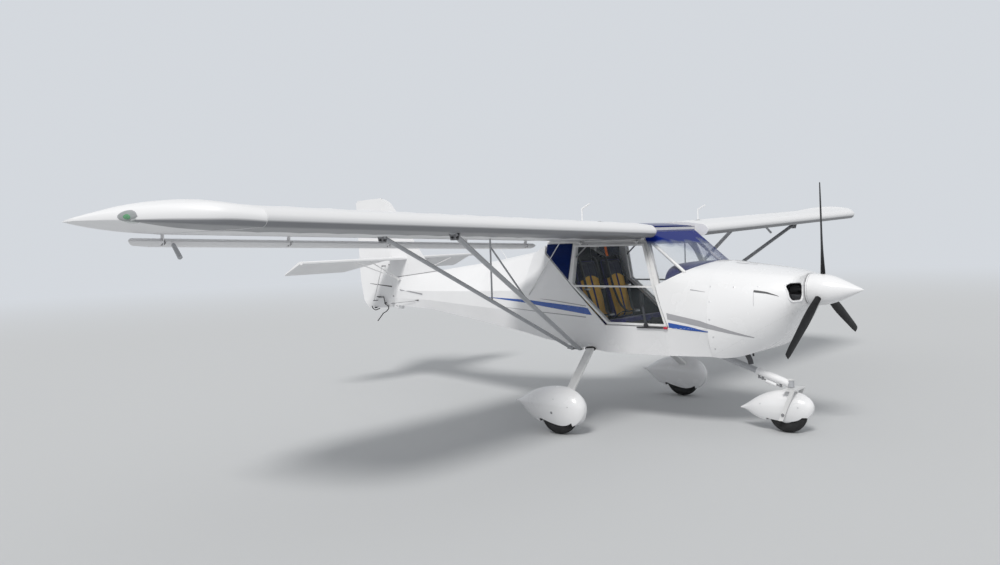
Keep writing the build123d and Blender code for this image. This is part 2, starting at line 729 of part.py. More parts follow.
# Windscreen: one bent sheet, flat in the middle with a cone on each side, from the cowl's cut to the roof
foot_rise = (SCREEN_CREST[0] - SCREEN_FOOT[0], SCREEN_CREST[1] - SCREEN_FOOT[1])
foot_plane = Plane(
    origin=(at(SCREEN_FOOT[0]), 0, SCREEN_FOOT[1] + SEAM_GAP),
    x_dir=(0, 1, 0),
    z_dir=(-foot_rise[1], 0, foot_rise[0]),
)
apex = foot_plane.to_local_coords(Vector(at(SCREEN_APEX[0]), SCREEN_APEX[1], SCREEN_APEX[2]))
with BuildPart() as windscreen:
    for share in (1, SCREEN_TIP_SHARE):
        with BuildSketch(foot_plane.offset(apex.Z * (1 - share))):
            screen_outline(apex, share)
    loft(ruled=True)
    rear = SCREEN_TOP_STATION + SEAM_GAP
    with BuildSketch(Plane.XZ):
        profile(((0, 1000), (rear, 1000), (rear, 1800), (0, 1800)))
    extrude(amount=600, both=True, mode=Mode.SUBTRACT)
finish(windscreen, "windscreen")


# Roof: a clear skylight ahead and a closed fairing behind, under the wing's top line
SKYLIGHT_REAR = -330.0
SKYLIGHT_DROP = 26.0
ROOF_BOTTOM = wing_bottom(WING_ROOT)
BEAM_STATIONS = (440.0, SCREEN_TOP_STATION)
BEAM_BOTTOM = 1564.0
ROOF_TUBE = 12.0
CROSS_TUBE = 9.0
RAIL_Z = ROOF_BOTTOM - TRAILING_DROP - SEAM_GAP - ROOF_TUBE
RAIL_Y = 375.0
RAIL_STATIONS = (-545.0, 455.0)
CROSS_STATIONS = (-530.0, -245.0, 430.0)

with BuildPart() as roof_fairing:
    with BuildSketch(side_plane(CENTRE_HALF)):
        wing_outline(LEADING_STATION, CHORD, ROOF_BOTTOM, 1)
    extrude(amount=2 * CENTRE_HALF)
    with BuildSketch(Plane.XZ):
        profile(((SKYLIGHT_REAR, 1400), (900, 1400), (900, 1800), (SKYLIGHT_REAR, 1800)))
    extrude(amount=600, both=True, mode=Mode.SUBTRACT)
finish(roof_fairing, "roof_fairing")

skylight_base = ROOF_BOTTOM - SKYLIGHT_DROP
with BuildPart() as skylight:
    with BuildSketch(side_plane(CENTRE_HALF)):
        wing_outline(LEADING_STATION, CHORD, skylight_base, 1)
    extrude(amount=2 * CENTRE_HALF)
    with BuildSketch(side_plane(CENTRE_HALF + 1)):
        wing_outline(LEADING_STATION, CHORD, skylight_base - GLASS, 1)
    extrude(amount=2 * CENTRE_HALF + 2, mode=Mode.SUBTRACT)
    with BuildSketch(Plane.XZ):
        profile(((-700, 1400), (SKYLIGHT_REAR + SEAM_GAP, 1400), (SKYLIGHT_REAR + SEAM_GAP, 1800), (-700, 1800)))
        profile(((SCREEN_TOP_STATION, 1400), (900, 1400), (900, 1800), (SCREEN_TOP_STATION, 1800)))
        profile(((-700, 1400), (900, 1400), (900, 1575), (-700, 1575)))
    extrude(amount=600, both=True, mode=Mode.SUBTRACT)
finish(skylight, "skylight")


# Roof frame: welded rails and cross tubes, the front member, and the brackets of the door hinges
with BuildPart() as roof_frame:
    for side, sign in SIDES:
        rod((at(RAIL_STATIONS[0]), sign * RAIL_Y, RAIL_Z), (at(RAIL_STATIONS[1]), sign * RAIL_Y, RAIL_Z), ROOF_TUBE)
        for station in DOOR_HINGE_STATIONS:
            for step in (-1, 1):
                inner = station + step * (HINGE_LUG_HALF + BRACKET_GAP)
                outer = inner + step * BRACKET_WIDTH
                stations = sorted((inner, outer))
                ys = sign_range(sign, BRACKET_ROOT_Y, DOOR_HINGE_HALF + 7)
                block(stations, ys, (DOOR_HINGE_Z - 7, DOOR_HINGE_Z + 7))
                ys = sign_range(sign, BRACKET_ROOT_Y, BRACKET_ROOT_Y + 14)
                block(stations, ys, (DOOR_HINGE_Z - 7, RAIL_Z + 2))
            reach = HINGE_LUG_HALF + BRACKET_GAP + BRACKET_WIDTH
            rod(
                (at(station - reach), sign * DOOR_HINGE_HALF, DOOR_HINGE_Z),
                (at(station + reach), sign * DOOR_HINGE_HALF, DOOR_HINGE_Z),
                HINGE_ROD_RADIUS,
            )
    for station in CROSS_STATIONS:
        rod((at(station), -RAIL_Y, RAIL_Z), (at(station), RAIL_Y, RAIL_Z), CROSS_TUBE)
    with BuildSketch(side_plane(CENTRE_HALF)):
        wing_outline(LEADING_STATION, CHORD, skylight_base - GLASS - SEAM_GAP, 1)
        with BuildSketch(Plane.XY, mode=Mode.INTERSECT):
            profile((
                (BEAM_STATIONS[0], BEAM_BOTTOM),
                (BEAM_STATIONS[1], BEAM_BOTTOM),
                (BEAM_STATIONS[1], 1700),
                (BEAM_STATIONS[0], 1700),
            ))
    extrude(amount=2 * CENTRE_HALF)
    for side, sign in SIDES:
        block((BEAM_STATIONS[0] - 15, BEAM_STATIONS[0] + 15), sorted((sign * 360, sign * 390)), (RAIL_Z, BEAM_BOTTOM + 10))
finish(roof_frame, "roof_frame")


FRAME_SHIFT = DOOR_BAR + SEAM_GAP + GLASS + DOOR_CLEARANCE
FRAME_TOP = RAIL_Z - ROOF_TUBE - SEAM_GAP
FRAME_CORNERS = (
    (748, SILL_Z + SEAM_GAP),
    (POST_FOOT_STATION + 10, SILL_Z + SEAM_GAP),
    (-552, 1436),
    (-552, FRAME_TOP),
    (494, FRAME_TOP),
)
QUARTER_CORNERS = ((-270, 1190), (-552, 1436), (-552, FRAME_TOP), (-262, FRAME_TOP))
WAIST_BAR = (1148.0, 1162.0)

for side, sign in SIDES:
    # Side frame: posts, sill, roof rail and slanted rear post round the door and the quarter window
    with BuildPart() as side_frame:
        with BuildSketch(across(-600)):
            side_band(FRAME_SHIFT, SIDE_BAR, sign)
        extrude(amount=1400)
        with BuildSketch(Plane.XZ):
            profile(FRAME_CORNERS)
            inset_profile(DOOR_CORNERS, DOOR_LAP, Mode.SUBTRACT)
            inset_profile(QUARTER_CORNERS, SIDE_BAR_WIDTH, Mode.SUBTRACT)
        extrude(amount=600, both=True, mode=Mode.INTERSECT)
    finish(side_frame, f"side_frame_{side}")

    # Quarter window, laid on the outside of the side frame
    with BuildPart() as quarter_window:
        with BuildSketch(across(-600)):
            side_band(FRAME_SHIFT - SEAM_GAP - GLASS, GLASS, sign)
        extrude(amount=1400)
        with BuildSketch(Plane.XZ):
            inset_profile(QUARTER_CORNERS, 6)
        extrude(amount=600, both=True, mode=Mode.INTERSECT)
    finish(quarter_window, f"quarter_window_{side}")

    # Door frame: a ring of tube with a waist bar and two hinge lugs
    with BuildPart() as door_frame:
        with BuildSketch(across(-600)):
            side_band(0, DOOR_BAR, sign)
        extrude(amount=1400)
        with BuildSketch(Plane.XZ):
            profile(DOOR_CORNERS)
            inset_profile(DOOR_CORNERS, DOOR_BAR_WIDTH, Mode.SUBTRACT)
            profile(((-200, WAIST_BAR[0]), (590, WAIST_BAR[0]), (590, WAIST_BAR[1]), (-200, WAIST_BAR[1])))
        extrude(amount=600, both=True, mode=Mode.INTERSECT)
        for station in DOOR_HINGE_STATIONS:
            ys = sorted((sign * (DOOR_HINGE_HALF - 10), sign * (DOOR_HINGE_HALF + 3)))
            block((station - HINGE_LUG_HALF, station + HINGE_LUG_HALF), ys, (1490, DOOR_HINGE_Z))
            start = (at(station - HINGE_LUG_HALF), sign * DOOR_HINGE_HALF, DOOR_HINGE_Z)
            end = (at(station + HINGE_LUG_HALF), sign * DOOR_HINGE_HALF, DOOR_HINGE_Z)
            rod(start, end, HINGE_LUG_RADIUS)
            rod(start, end, HINGE_ROD_RADIUS + ROD_CLEARANCE, Mode.SUBTRACT)
    finish(door_frame, f"door_frame_{side}")

    # Door glazing: one bent sheet on the inside of its frame
    with BuildPart() as door_glazing:
        with BuildSketch(across(-600)):
            side_band(DOOR_BAR + SEAM_GAP, GLASS, sign)
        extrude(amount=1400)
        with BuildSketch(Plane.XZ):
            inset_profile(DOOR_CORNERS, 4)
        extrude(amount=600, both=True, mode=Mode.INTERSECT)
    finish(door_glazing, f"door_glazing_{side}")

# Instrument panel: a plate across the inside of the boot cowl
PANEL_STATIONS = (752.0, 772.0)
PANEL_FOOT_Z = 1015.0
PANEL_HEAD_ZS = (1222.0, 1229.0)
with BuildPart() as instrument_panel:
    for row in COWLING[:2]:
        with BuildSketch(across(row[0])):
            cowling_outline(row, SKIN + SEAM_GAP)
    loft(ruled=True)
    with BuildSketch(Plane.XZ):
        profile((
            (PANEL_STATIONS[0], PANEL_FOOT_Z),
            (PANEL_STATIONS[1], PANEL_FOOT_Z),
            (PANEL_STATIONS[1], PANEL_HEAD_ZS[1]),
            (PANEL_STATIONS[0], PANEL_HEAD_ZS[0]),
        ))
    extrude(amount=600, both=True, mode=Mode.INTERSECT)
finish(instrument_panel, "instrument_panel")

# Baggage bay: a shelf and an upright panel behind the seats
BAY_STATIONS = (-610.0, -330.0)
BAY_Z = 800.0
BAY_TOP_Z = 1300.0
BAY_SHEET = 6.0
with BuildPart() as baggage_bay:
    for row in FUSELAGE[:3]:
        with BuildSketch(across(row[0])):
            fuselage_outline(row, FABRIC_WALL + SEAM_GAP)
    loft(ruled=True)
    with BuildSketch(Plane.XZ):
        profile((
            (BAY_STATIONS[1], BAY_Z - BAY_SHEET),
            (BAY_STATIONS[1], BAY_Z),
            (BAY_STATIONS[0] + BAY_SHEET, BAY_Z),
            (BAY_STATIONS[0] + BAY_SHEET, BAY_TOP_Z),
            (BAY_STATIONS[0], BAY_TOP_Z),
            (BAY_STATIONS[0], BAY_Z - BAY_SHEET),
        ))
    extrude(amount=600, both=True, mode=Mode.INTERSECT)
finish(baggage_bay, "baggage_bay")

# Seats: cushion and back in one, standing on the floor ahead
SEAT_YS = (36.0, 372.0)
SEAT_FOOT_Z = 616.5
SEAT_OUTLINE = (
    (245, SEAT_FOOT_Z),
    (245, 885),
    (-110, 835),
    (-255, 1370),
    (-330, 1355),
    (-205, 735),
    (185, 775),
    (185, SEAT_FOOT_Z),
)
for side, sign in SIDES:
    with BuildPart() as seat:
        with BuildSketch(side_plane(sign * (SEAT_YS[0] if sign > 0 else SEAT_YS[1]))):
            profile(SEAT_OUTLINE)
        extrude(amount=-(SEAT_YS[1] - SEAT_YS[0]))
    finish(seat, f"seat_{side}")


# Wheel pants, from the tail: distance ahead of the axle, middle height, half height and half width of each section
MAIN_PANT = (
    (-453, 232, 6, 5),
    (-330, 231, 62, 44),
    (-150, 229, 138, 86),
    (20, 227, 161, 99),
    (150, 222, 142, 90),
    (225, 222, 84, 56),
    (252, 224, 18, 14),
)
NOSE_PANT = (
    (-394, 160, 5, 5),
    (-284, 178, 58, 44),
    (-134, 198, 112, 82),
    (-14, 206, 124, 88.5),
    (106, 206, 108, 80),
    (176, 209, 64, 50),
    (203, 211, 14, 12),
)

# Wing tip sections: distance from the centre line, nose station, lift of the underside and share of thickness
TIP_ROWS = (
    (TIP_START + SEAM_GAP, LEADING_STATION, 0, 1),
    (HALF_SPAN - 310, 487, 8, 0.98),
    (HALF_SPAN - 140, 242, 26, 0.72),
    (HALF_SPAN - 40, -61, 44, 0.40),
    (HALF_SPAN, -380, 52, 0.10),
)

for side, sign in SIDES:
    # Wing: one closed panel with the flaperon arms under its trailing edge and the tank vent on top
    with BuildPart() as wing:
        for y in (WING_ROOT, TIP_START):
            with BuildSketch(side_plane(sign * y)):
                wing_outline(LEADING_STATION, CHORD, wing_bottom(y), 1)
        loft(ruled=True)
        for y in HINGE_RIBS:
            foot = wing_bottom(y) - HINGE_DROP
            ys = sign_range(sign, y - ARM_THICKNESS / 2, y + ARM_THICKNESS / 2)
            block((HINGE_STATION - ARM_WIDTH / 2, HINGE_STATION + ARM_WIDTH / 2), ys, (foot, wing_bottom(y) + 1))
            reach = ARM_THICKNESS / 2
            rod(hinge_point(sign, y - reach), hinge_point(sign, y + reach), ARM_WIDTH / 2)
            reach += ARM_CLEARANCE + 10
            rod(hinge_point(sign, y - reach), hinge_point(sign, y + reach), HINGE_ROD_RADIUS)
        vent = wing_bottom(VENT_Y) + TOP_RISE
        rod((at(233), sign * VENT_Y, vent - 10), (at(233), sign * VENT_Y, vent + 105), 6)
        rod((at(233), sign * VENT_Y, vent + 101), (at(310), sign * VENT_Y, vent + 138), 6)
    finish(wing, f"wing_{side}")

    # Wing tip: a raked cap, its underside swept up, pocketed for the lamp
    lens_zs = (wing_bottom(HALF_SPAN), wing_bottom(HALF_SPAN) + 150)
    with BuildPart() as wing_tip:
        for y, nose, lift, share in TIP_ROWS:
            with BuildSketch(side_plane(sign * y)):
                wing_outline(nose, nose - TRAILING_STATION, wing_bottom(y) + lift, share)
        loft(ruled=True)
        block(LENS_STATIONS, sign_range(sign, HALF_SPAN - LENS_DEPTH, HALF_SPAN + 40), lens_zs, Mode.SUBTRACT)
    finish(wing_tip, f"wing_tip_{side}")

    # Position lamp: fills the pocket, flush with the tip
    with BuildPart() as tip_lens:
        for y, nose, lift, share in TIP_ROWS:
            with BuildSketch(side_plane(sign * y)):
                wing_outline(nose, nose - TRAILING_STATION, wing_bottom(y) + lift, share)
        loft(ruled=True)
        block(
            (LENS_STATIONS[0] + SEAM_GAP, LENS_STATIONS[1] - SEAM_GAP),
            sign_range(sign, HALF_SPAN - LENS_DEPTH + SEAM_GAP, HALF_SPAN + 40),
            lens_zs,
            Mode.INTERSECT,
        )
    finish(tip_lens, f"tip_lens_{side}")

    # Flaperon: a narrow wing on the hinge line, notched for the arms, with its balance arm
    with BuildPart() as flaperon:
        for y in (FLAPERON_INNER, FLAPERON_OUTER):
            with BuildSketch(side_plane(sign * y)):
                tapered_outline(
                    (at(FLAPERON_NOSE_STATION), wing_bottom(y) - FLAPERON_NOSE_DROP),
                    FLAPERON_CHORD,
                    FLAPERON_THICKNESS,
                    FLAPERON_DROOP,
                )
        loft(ruled=True)
        tail = FLAPERON_NOSE_STATION - FLAPERON_CHORD
        with BuildSketch(Plane.XY):
            polygon([
                (at(FLAPERON_NOSE_STATION + FLAPERON_RAKE_LEAD), sign * (FLAPERON_OUTER + FLAPERON_RAKE_LEAD)),
                (at(tail), sign * (FLAPERON_OUTER - FLAPERON_RAKE)),
                (at(tail - 50), sign * (FLAPERON_OUTER - FLAPERON_RAKE - 50)),
                (at(tail - 50), sign * (FLAPERON_OUTER + 100)),
                (at(FLAPERON_NOSE_STATION + FLAPERON_RAKE_LEAD), sign * (FLAPERON_OUTER + 100)),
            ])
        extrude(amount=2000, mode=Mode.SUBTRACT)
        for y in HINGE_RIBS:
            gap = ARM_THICKNESS / 2 + ARM_CLEARANCE
            block(
                (HINGE_STATION - ARM_WIDTH / 2 - NOTCH_DEPTH, FLAPERON_NOSE_STATION + 20),
                sign_range(sign, y - gap, y + gap),
                (wing_bottom(y) - 120, wing_bottom(y)),
                Mode.SUBTRACT,
            )
            reach = gap + 11
            start = hinge_point(sign, y - reach)
            rod(start, hinge_point(sign, y + reach), HINGE_ROD_RADIUS + ROD_CLEARANCE, Mode.SUBTRACT)
        start = (at(FLAPERON_NOSE_STATION - 10), sign * BALANCE_Y, wing_bottom(BALANCE_Y) - FLAPERON_NOSE_DROP - 2)
        end = (at(BALANCE_END[0]), sign * BALANCE_Y, wing_bottom(BALANCE_Y) - BALANCE_END[1])
        rod(start, end, BALANCE_RADIUS)
    finish(flaperon, f"flaperon_{side}")

    # Struts: lens sections from the body lugs to the wing, cut to both; the rear one carries the jury struts
    for name, foot_station, top_station in (
        ("front", STRUT_FOOT_STATIONS[0], STRUT_TOP_STATIONS[0]),
        ("rear", STRUT_FOOT_STATIONS[1], STRUT_TOP_STATIONS[1]),
    ):
        foot = Vector(at(foot_station), sign * STRUT_FOOT_Y, STRUT_FOOT_Z)
        top = Vector(at(top_station), sign * STRUT_TOP_Y, wing_bottom(STRUT_TOP_Y))
        way = (top - foot).normalized()
        with BuildPart() as strut:
            with BuildSketch(Plane(origin=foot - way * 60, x_dir=(1, 0, 0), z_dir=way)):
                lens(STRUT_CHORD, STRUT_THICKNESS)
            extrude(amount=(top - foot).length + 120)
            if name == "rear":
                jury_z = STRUT_FOOT_Z + (top.Z - STRUT_FOOT_Z) * (JURY_Y - STRUT_FOOT_Y) / (STRUT_TOP_Y - STRUT_FOOT_Y)
                jury_foot = (at(JURY_STATION), sign * JURY_Y, jury_z)
                rod(jury_foot, (at(JURY_STATION), sign * JURY_Y, 1650), JURY_RADIUS)
                rod(
                    (at(JURY_STATION), sign * JURY_Y, JURY_CROSS_Z),
                    (at(JURY_REACH[0]), sign * JURY_Y, JURY_REACH[1]),
                    JURY_RADIUS,
                )
            level = SEAM_GAP + wing_drop(top_station - STRUT_CHORD)
            with BuildSketch(Plane.YZ):
                polygon([
                    (sign * 100, wing_bottom(100) - level),
                    (sign * 3400, wing_bottom(3400) - level),
                    (sign * 3400, 2200),
                    (sign * 100, 2200),
                ])
            extrude(amount=3000, both=True, mode=Mode.SUBTRACT)
            block((-3000, 3000), sign_range(sign, -200, STRUT_FOOT_Y), (0, 900), Mode.SUBTRACT)
        finish(strut, f"{name}_strut_{side}")

    # Gear leg: a bar across the floor, sloping down to the wheel, with the axle plate and stub axle
    with BuildPart() as gear_leg:
        leg_slope(sign, 0)
        ys = sign_range(sign, LEG_ROOT_Y, LEG_BEND_Y)
        half = LEG_THICKNESS / 2
        block((LEG_TOP_STATION - LEG_CHORD / 2, LEG_TOP_STATION + LEG_CHORD / 2), ys, (LEG_TOP_Z - half, LEG_TOP_Z + half))
        leg_plate(sign, 0)
        rod((at(0), sign * LEG_PLATE_YS[0], TYRE_RADIUS), (at(0), sign * AXLE_END_Y, TYRE_RADIUS), AXLE_RADIUS)
    finish(gear_leg, f"gear_leg_{side}")

    # Wheel pant: a teardrop shell with a mouth for the tyre and a slot for the leg
    with BuildPart() as main_pant:
        pant_loft(MAIN_PANT, 0, sign * HALF_TRACK, 0)
        pant_loft(MAIN_PANT, 0, sign * HALF_TRACK, PANT_WALL, Mode.SUBTRACT)
        block(MAIN_MOUTH, sorted((sign * (HALF_TRACK - 64), sign * (HALF_TRACK + 64))), (0, 120), Mode.SUBTRACT)
        leg_slope(sign, SEAM_GAP, Mode.SUBTRACT)
        leg_plate(sign, SEAM_GAP, Mode.SUBTRACT)
    finish(main_pant, f"main_pant_{side}")

    # Main wheel: tyre and rim, turning on the stub axle
    with BuildPart() as main_tyre:
        tyre(0, sign * HALF_TRACK, TYRE_RADIUS, TYRE_HALF_WIDTH, RIM_RADIUS)
    finish(main_tyre, f"main_tyre_{side}")
    with BuildPart() as main_rim:
        rim(0, sign * HALF_TRACK, TYRE_RADIUS, RIM_RADIUS, RIM_HALF_WIDTH)
    finish(main_rim, f"main_rim_{side}")

    # Stabiliser: a flat panel through the fin's side, with a hinge eye for the elevator
    with BuildPart() as stabiliser:
        aft = ELEVATOR_HINGE_STATION + TAIL_NOSE_RADIUS + TAIL_GAP
        with BuildSketch(Plane.XY.offset(STAB_Z - STAB_THICKNESS / 2)):
            polygon([
                (at(STAB_ROOT_STATION), sign * (FIN_HALF + SEAM_GAP)),
                (at(STAB_TIP_STATION), sign * STAB_HALF_SPAN),
                (at(aft), sign * STAB_HALF_SPAN),
                (at(aft), sign * (FIN_HALF + SEAM_GAP)),
            ])
        extrude(amount=STAB_THICKNESS)
        chamfer(stabiliser.edges().filter_by(Axis.Z, reverse=True).group_by(Axis.X)[-1], length=9)
        ys = sign_range(sign, ELEVATOR_EYE_Y - 4, ELEVATOR_EYE_Y + 4)
        block((ELEVATOR_HINGE_STATION, aft + 5), ys, (STAB_Z - 8, STAB_Z + 8))
        start = (at(ELEVATOR_HINGE_STATION), ys[0], STAB_Z)
        end = (at(ELEVATOR_HINGE_STATION), ys[1], STAB_Z)
        rod(start, end, 10)
        rod(start, end, EYE_PIN_RADIUS + ROD_CLEARANCE, Mode.SUBTRACT)
    finish(stabiliser, f"stabiliser_{side}")

    # Tail braces: two rods from the tail cone to the stabiliser, on one foot plate
    with BuildPart() as tail_brace:
        for top_x, top_y in BRACE_TOPS:
            foot = (at(BRACE_FOOT[0]), sign * BRACE_FOOT[1], BRACE_FOOT[2])
            rod(foot, (at(top_x), sign * top_y, STAB_Z), BRACE_RADIUS)
        ys = sign_range(sign, 30, 80)
        block((BRACE_FOOT[0] - 14, BRACE_FOOT[0] + 14), ys, (BRACE_FOOT[2] - 8, BRACE_FOOT[2] + 8))
        for row in FUSELAGE[-2:]:
            with BuildSketch(across(row[0])):
                fuselage_outline(row, -SEAM_GAP)
        loft(ruled=True, mode=Mode.SUBTRACT)
        block((-3200, -2500), sign_range(sign, 0, 1500), (STAB_Z - STAB_THICKNESS / 2 - SEAM_GAP, STAB_Z + 100), Mode.SUBTRACT)
    finish(tail_brace, f"tail_brace_{side}")

# Nose leg: a tube from the body forward and down to the steering head
with BuildPart() as nose_leg:
    rod(
        (at(NOSE_LEG_ROOT[0]), 0, NOSE_LEG_ROOT[1]),
        (at(STEER_STATION), 0, NOSE_LEG_FOOT_Z),
        NOSE_LEG_RADIUS,
    )
    head_foot = (at(STEER_STATION), 0, CROWN_Z + CROWN_THICKNESS + 5)
    rod(head_foot, (at(STEER_STATION), 0, HEAD_TOP_Z), HEAD_RADIUS)
    block((NOSE_LEG_ROOT[0] - 60, NOSE_LEG_ROOT[0] + 30), (-40, 40), (555, 700))
    for row in LOWER_BODY[1:]:
        with BuildSketch(across(row[0])):
            polygon(mirrored(((row[2], row[1] - SEAM_GAP), (row[3], SILL_Z))))
    loft(ruled=True, mode=Mode.SUBTRACT)
    rod((at(STEER_STATION), 0, 300), (at(STEER_STATION), 0, 450), STEM_RADIUS + ROD_CLEARANCE, Mode.SUBTRACT)
finish(nose_leg, "nose_leg")

# Nose fork: crown, leaning arms outside the pant, steering stem and axle
with BuildPart() as nose_fork:
    crown_ahead = WHEELBASE + FORK_LEAN * (CROWN_Z - NOSE_TYRE_RADIUS) + FORK_WIDTH / 2
    block((STEER_STATION - 24, crown_ahead), (-FORK_HALF, FORK_HALF), (CROWN_Z, CROWN_Z + CROWN_THICKNESS))
    for side, sign in SIDES:
        with BuildSketch(side_plane(sign * FORK_HALF)):
            low = -FORK_LEAN * 48
            high = FORK_LEAN * (CROWN_Z + CROWN_THICKNESS - NOSE_TYRE_RADIUS)
            profile((
                (WHEELBASE + low - FORK_WIDTH / 2, NOSE_TYRE_RADIUS - 48),
                (WHEELBASE + low + FORK_WIDTH / 2, NOSE_TYRE_RADIUS - 48),
                (WHEELBASE + high + FORK_WIDTH / 2, CROWN_Z + CROWN_THICKNESS),
                (WHEELBASE + high - FORK_WIDTH / 2, CROWN_Z + CROWN_THICKNESS),
            ))
        extrude(amount=sign * FORK_BAR)
    rod((at(WHEELBASE), -FORK_HALF, NOSE_TYRE_RADIUS), (at(WHEELBASE), FORK_HALF, NOSE_TYRE_RADIUS), AXLE_RADIUS)
    rod((at(STEER_STATION), 0, CROWN_Z), (at(STEER_STATION), 0, HEAD_TOP_Z + 13), STEM_RADIUS)
    rod((at(STEER_STATION), 0, HEAD_TOP_Z + 5), (at(STEER_STATION), 0, HEAD_TOP_Z + 13), HEAD_RADIUS - 3)
finish(nose_fork, "nose_fork")

# Nose pant: a teardrop shell between the fork arms, bored for the axle
with BuildPart() as nose_pant:
    pant_loft(NOSE_PANT, WHEELBASE, 0, 0)
    pant_loft(NOSE_PANT, WHEELBASE, 0, PANT_WALL, Mode.SUBTRACT)
    block(NOSE_MOUTH, (-56, 56), (0, 135), Mode.SUBTRACT)
    axle_half = FORK_HALF + 10
    rod(
        (at(WHEELBASE), -axle_half, NOSE_TYRE_RADIUS),
        (at(WHEELBASE), axle_half, NOSE_TYRE_RADIUS),
        AXLE_RADIUS + SEAM_GAP,
        Mode.SUBTRACT,
    )
finish(nose_pant, "nose_pant")

with BuildPart() as nose_tyre:
    tyre(WHEELBASE, 0, NOSE_TYRE_RADIUS, NOSE_TYRE_HALF_WIDTH, NOSE_RIM_RADIUS)
finish(nose_tyre, "nose_tyre")

with BuildPart() as nose_rim:
    rim(WHEELBASE, 0, NOSE_TYRE_RADIUS, NOSE_RIM_RADIUS, NOSE_RIM_HALF_WIDTH)
finish(nose_rim, "nose_rim")


FIN_AFT = TAIL_NOSE_RADIUS + TAIL_GAP
tail_row = FUSELAGE[-1]
deck_row = FUSELAGE[-2]

# Fin: stands on the tail cone's ridge and behind its end, with eyes for the rudder and a hole for the elevator tube
with BuildPart() as fin:
    with BuildSketch(Plane.XZ):
        profile((
            (deck_row[0], deck_row[-1] + SEAM_GAP),
            (-2500, 1360),
            (-2601, 1485),
            (-2958, 1924),
            (-3035, 2008),
            (-3100, 2044),
            (rudder_hinge(FIN_TOP_Z, FIN_AFT), FIN_TOP_Z),
            (rudder_hinge(FIN_FOOT_Z, FIN_AFT), FIN_FOOT_Z),
            (tail_row[0] - SEAM_GAP, FIN_FOOT_Z),
            (tail_row[0] - SEAM_GAP, tail_row[-1] + SEAM_GAP),
        ))
    extrude(amount=FIN_HALF, both=True)
    for z in RUDDER_EYES:
        hub = (at(rudder_hinge(z)), 0, z)
        block((rudder_hinge(z), rudder_hinge(z, FIN_AFT + 8)), (-8, 8), (z - 4, z + 4))
        rod((hub[0], 0, z - 4), (hub[0], 0, z + 4), 10)
        rod(rudder_point(z - 6), rudder_point(z + 6), EYE_PIN_RADIUS + ROD_CLEARANCE, Mode.SUBTRACT)
    rod(
        (at(ELEVATOR_HINGE_STATION), -FIN_HALF - 1, STAB_Z),
        (at(ELEVATOR_HINGE_STATION), FIN_HALF + 1, STAB_Z),
        TORQUE_TUBE_RADIUS + ROD_CLEARANCE,
        Mode.SUBTRACT,
    )
finish(fin, "fin")

# Rudder: leans on its hinge line, notched for the eyes
with BuildPart() as rudder:
    with BuildSketch(Plane.XZ):
        profile((
            (rudder_hinge(RUDDER_FOOT_Z), RUDDER_FOOT_Z),
            (rudder_hinge(RUDDER_TOP_Z), RUDDER_TOP_Z),
            (-3560, 2062),
            (TAIL_STATION, 2035),
            (-3564, 1153),
            (-3515, 928),
            (-3434, 842),
        ))
    extrude(amount=TAIL_NOSE_RADIUS, both=True)
    with BuildSketch(Plane.XY):
        polygon([(at(-3100), 30), (at(-3100), TAIL_NOSE_RADIUS), (at(TAIL_STATION), 4), (at(TAIL_STATION), 30)])
        polygon([(at(-3100), -30), (at(-3100), -TAIL_NOSE_RADIUS), (at(TAIL_STATION), -4), (at(TAIL_STATION), -30)])
    extrude(amount=2500, mode=Mode.SUBTRACT)
    rod(rudder_point(RUDDER_FOOT_Z), rudder_point(RUDDER_TOP_Z), TAIL_NOSE_RADIUS)
    for z in RUDDER_EYES:
        block((rudder_hinge(z) - 24, rudder_hinge(z) + 24), (-40, 40), (z - 10, z + 10), Mode.SUBTRACT)
        rod(rudder_point(z - 20), rudder_point(z + 20), EYE_PIN_RADIUS)
finish(rudder, "rudder")

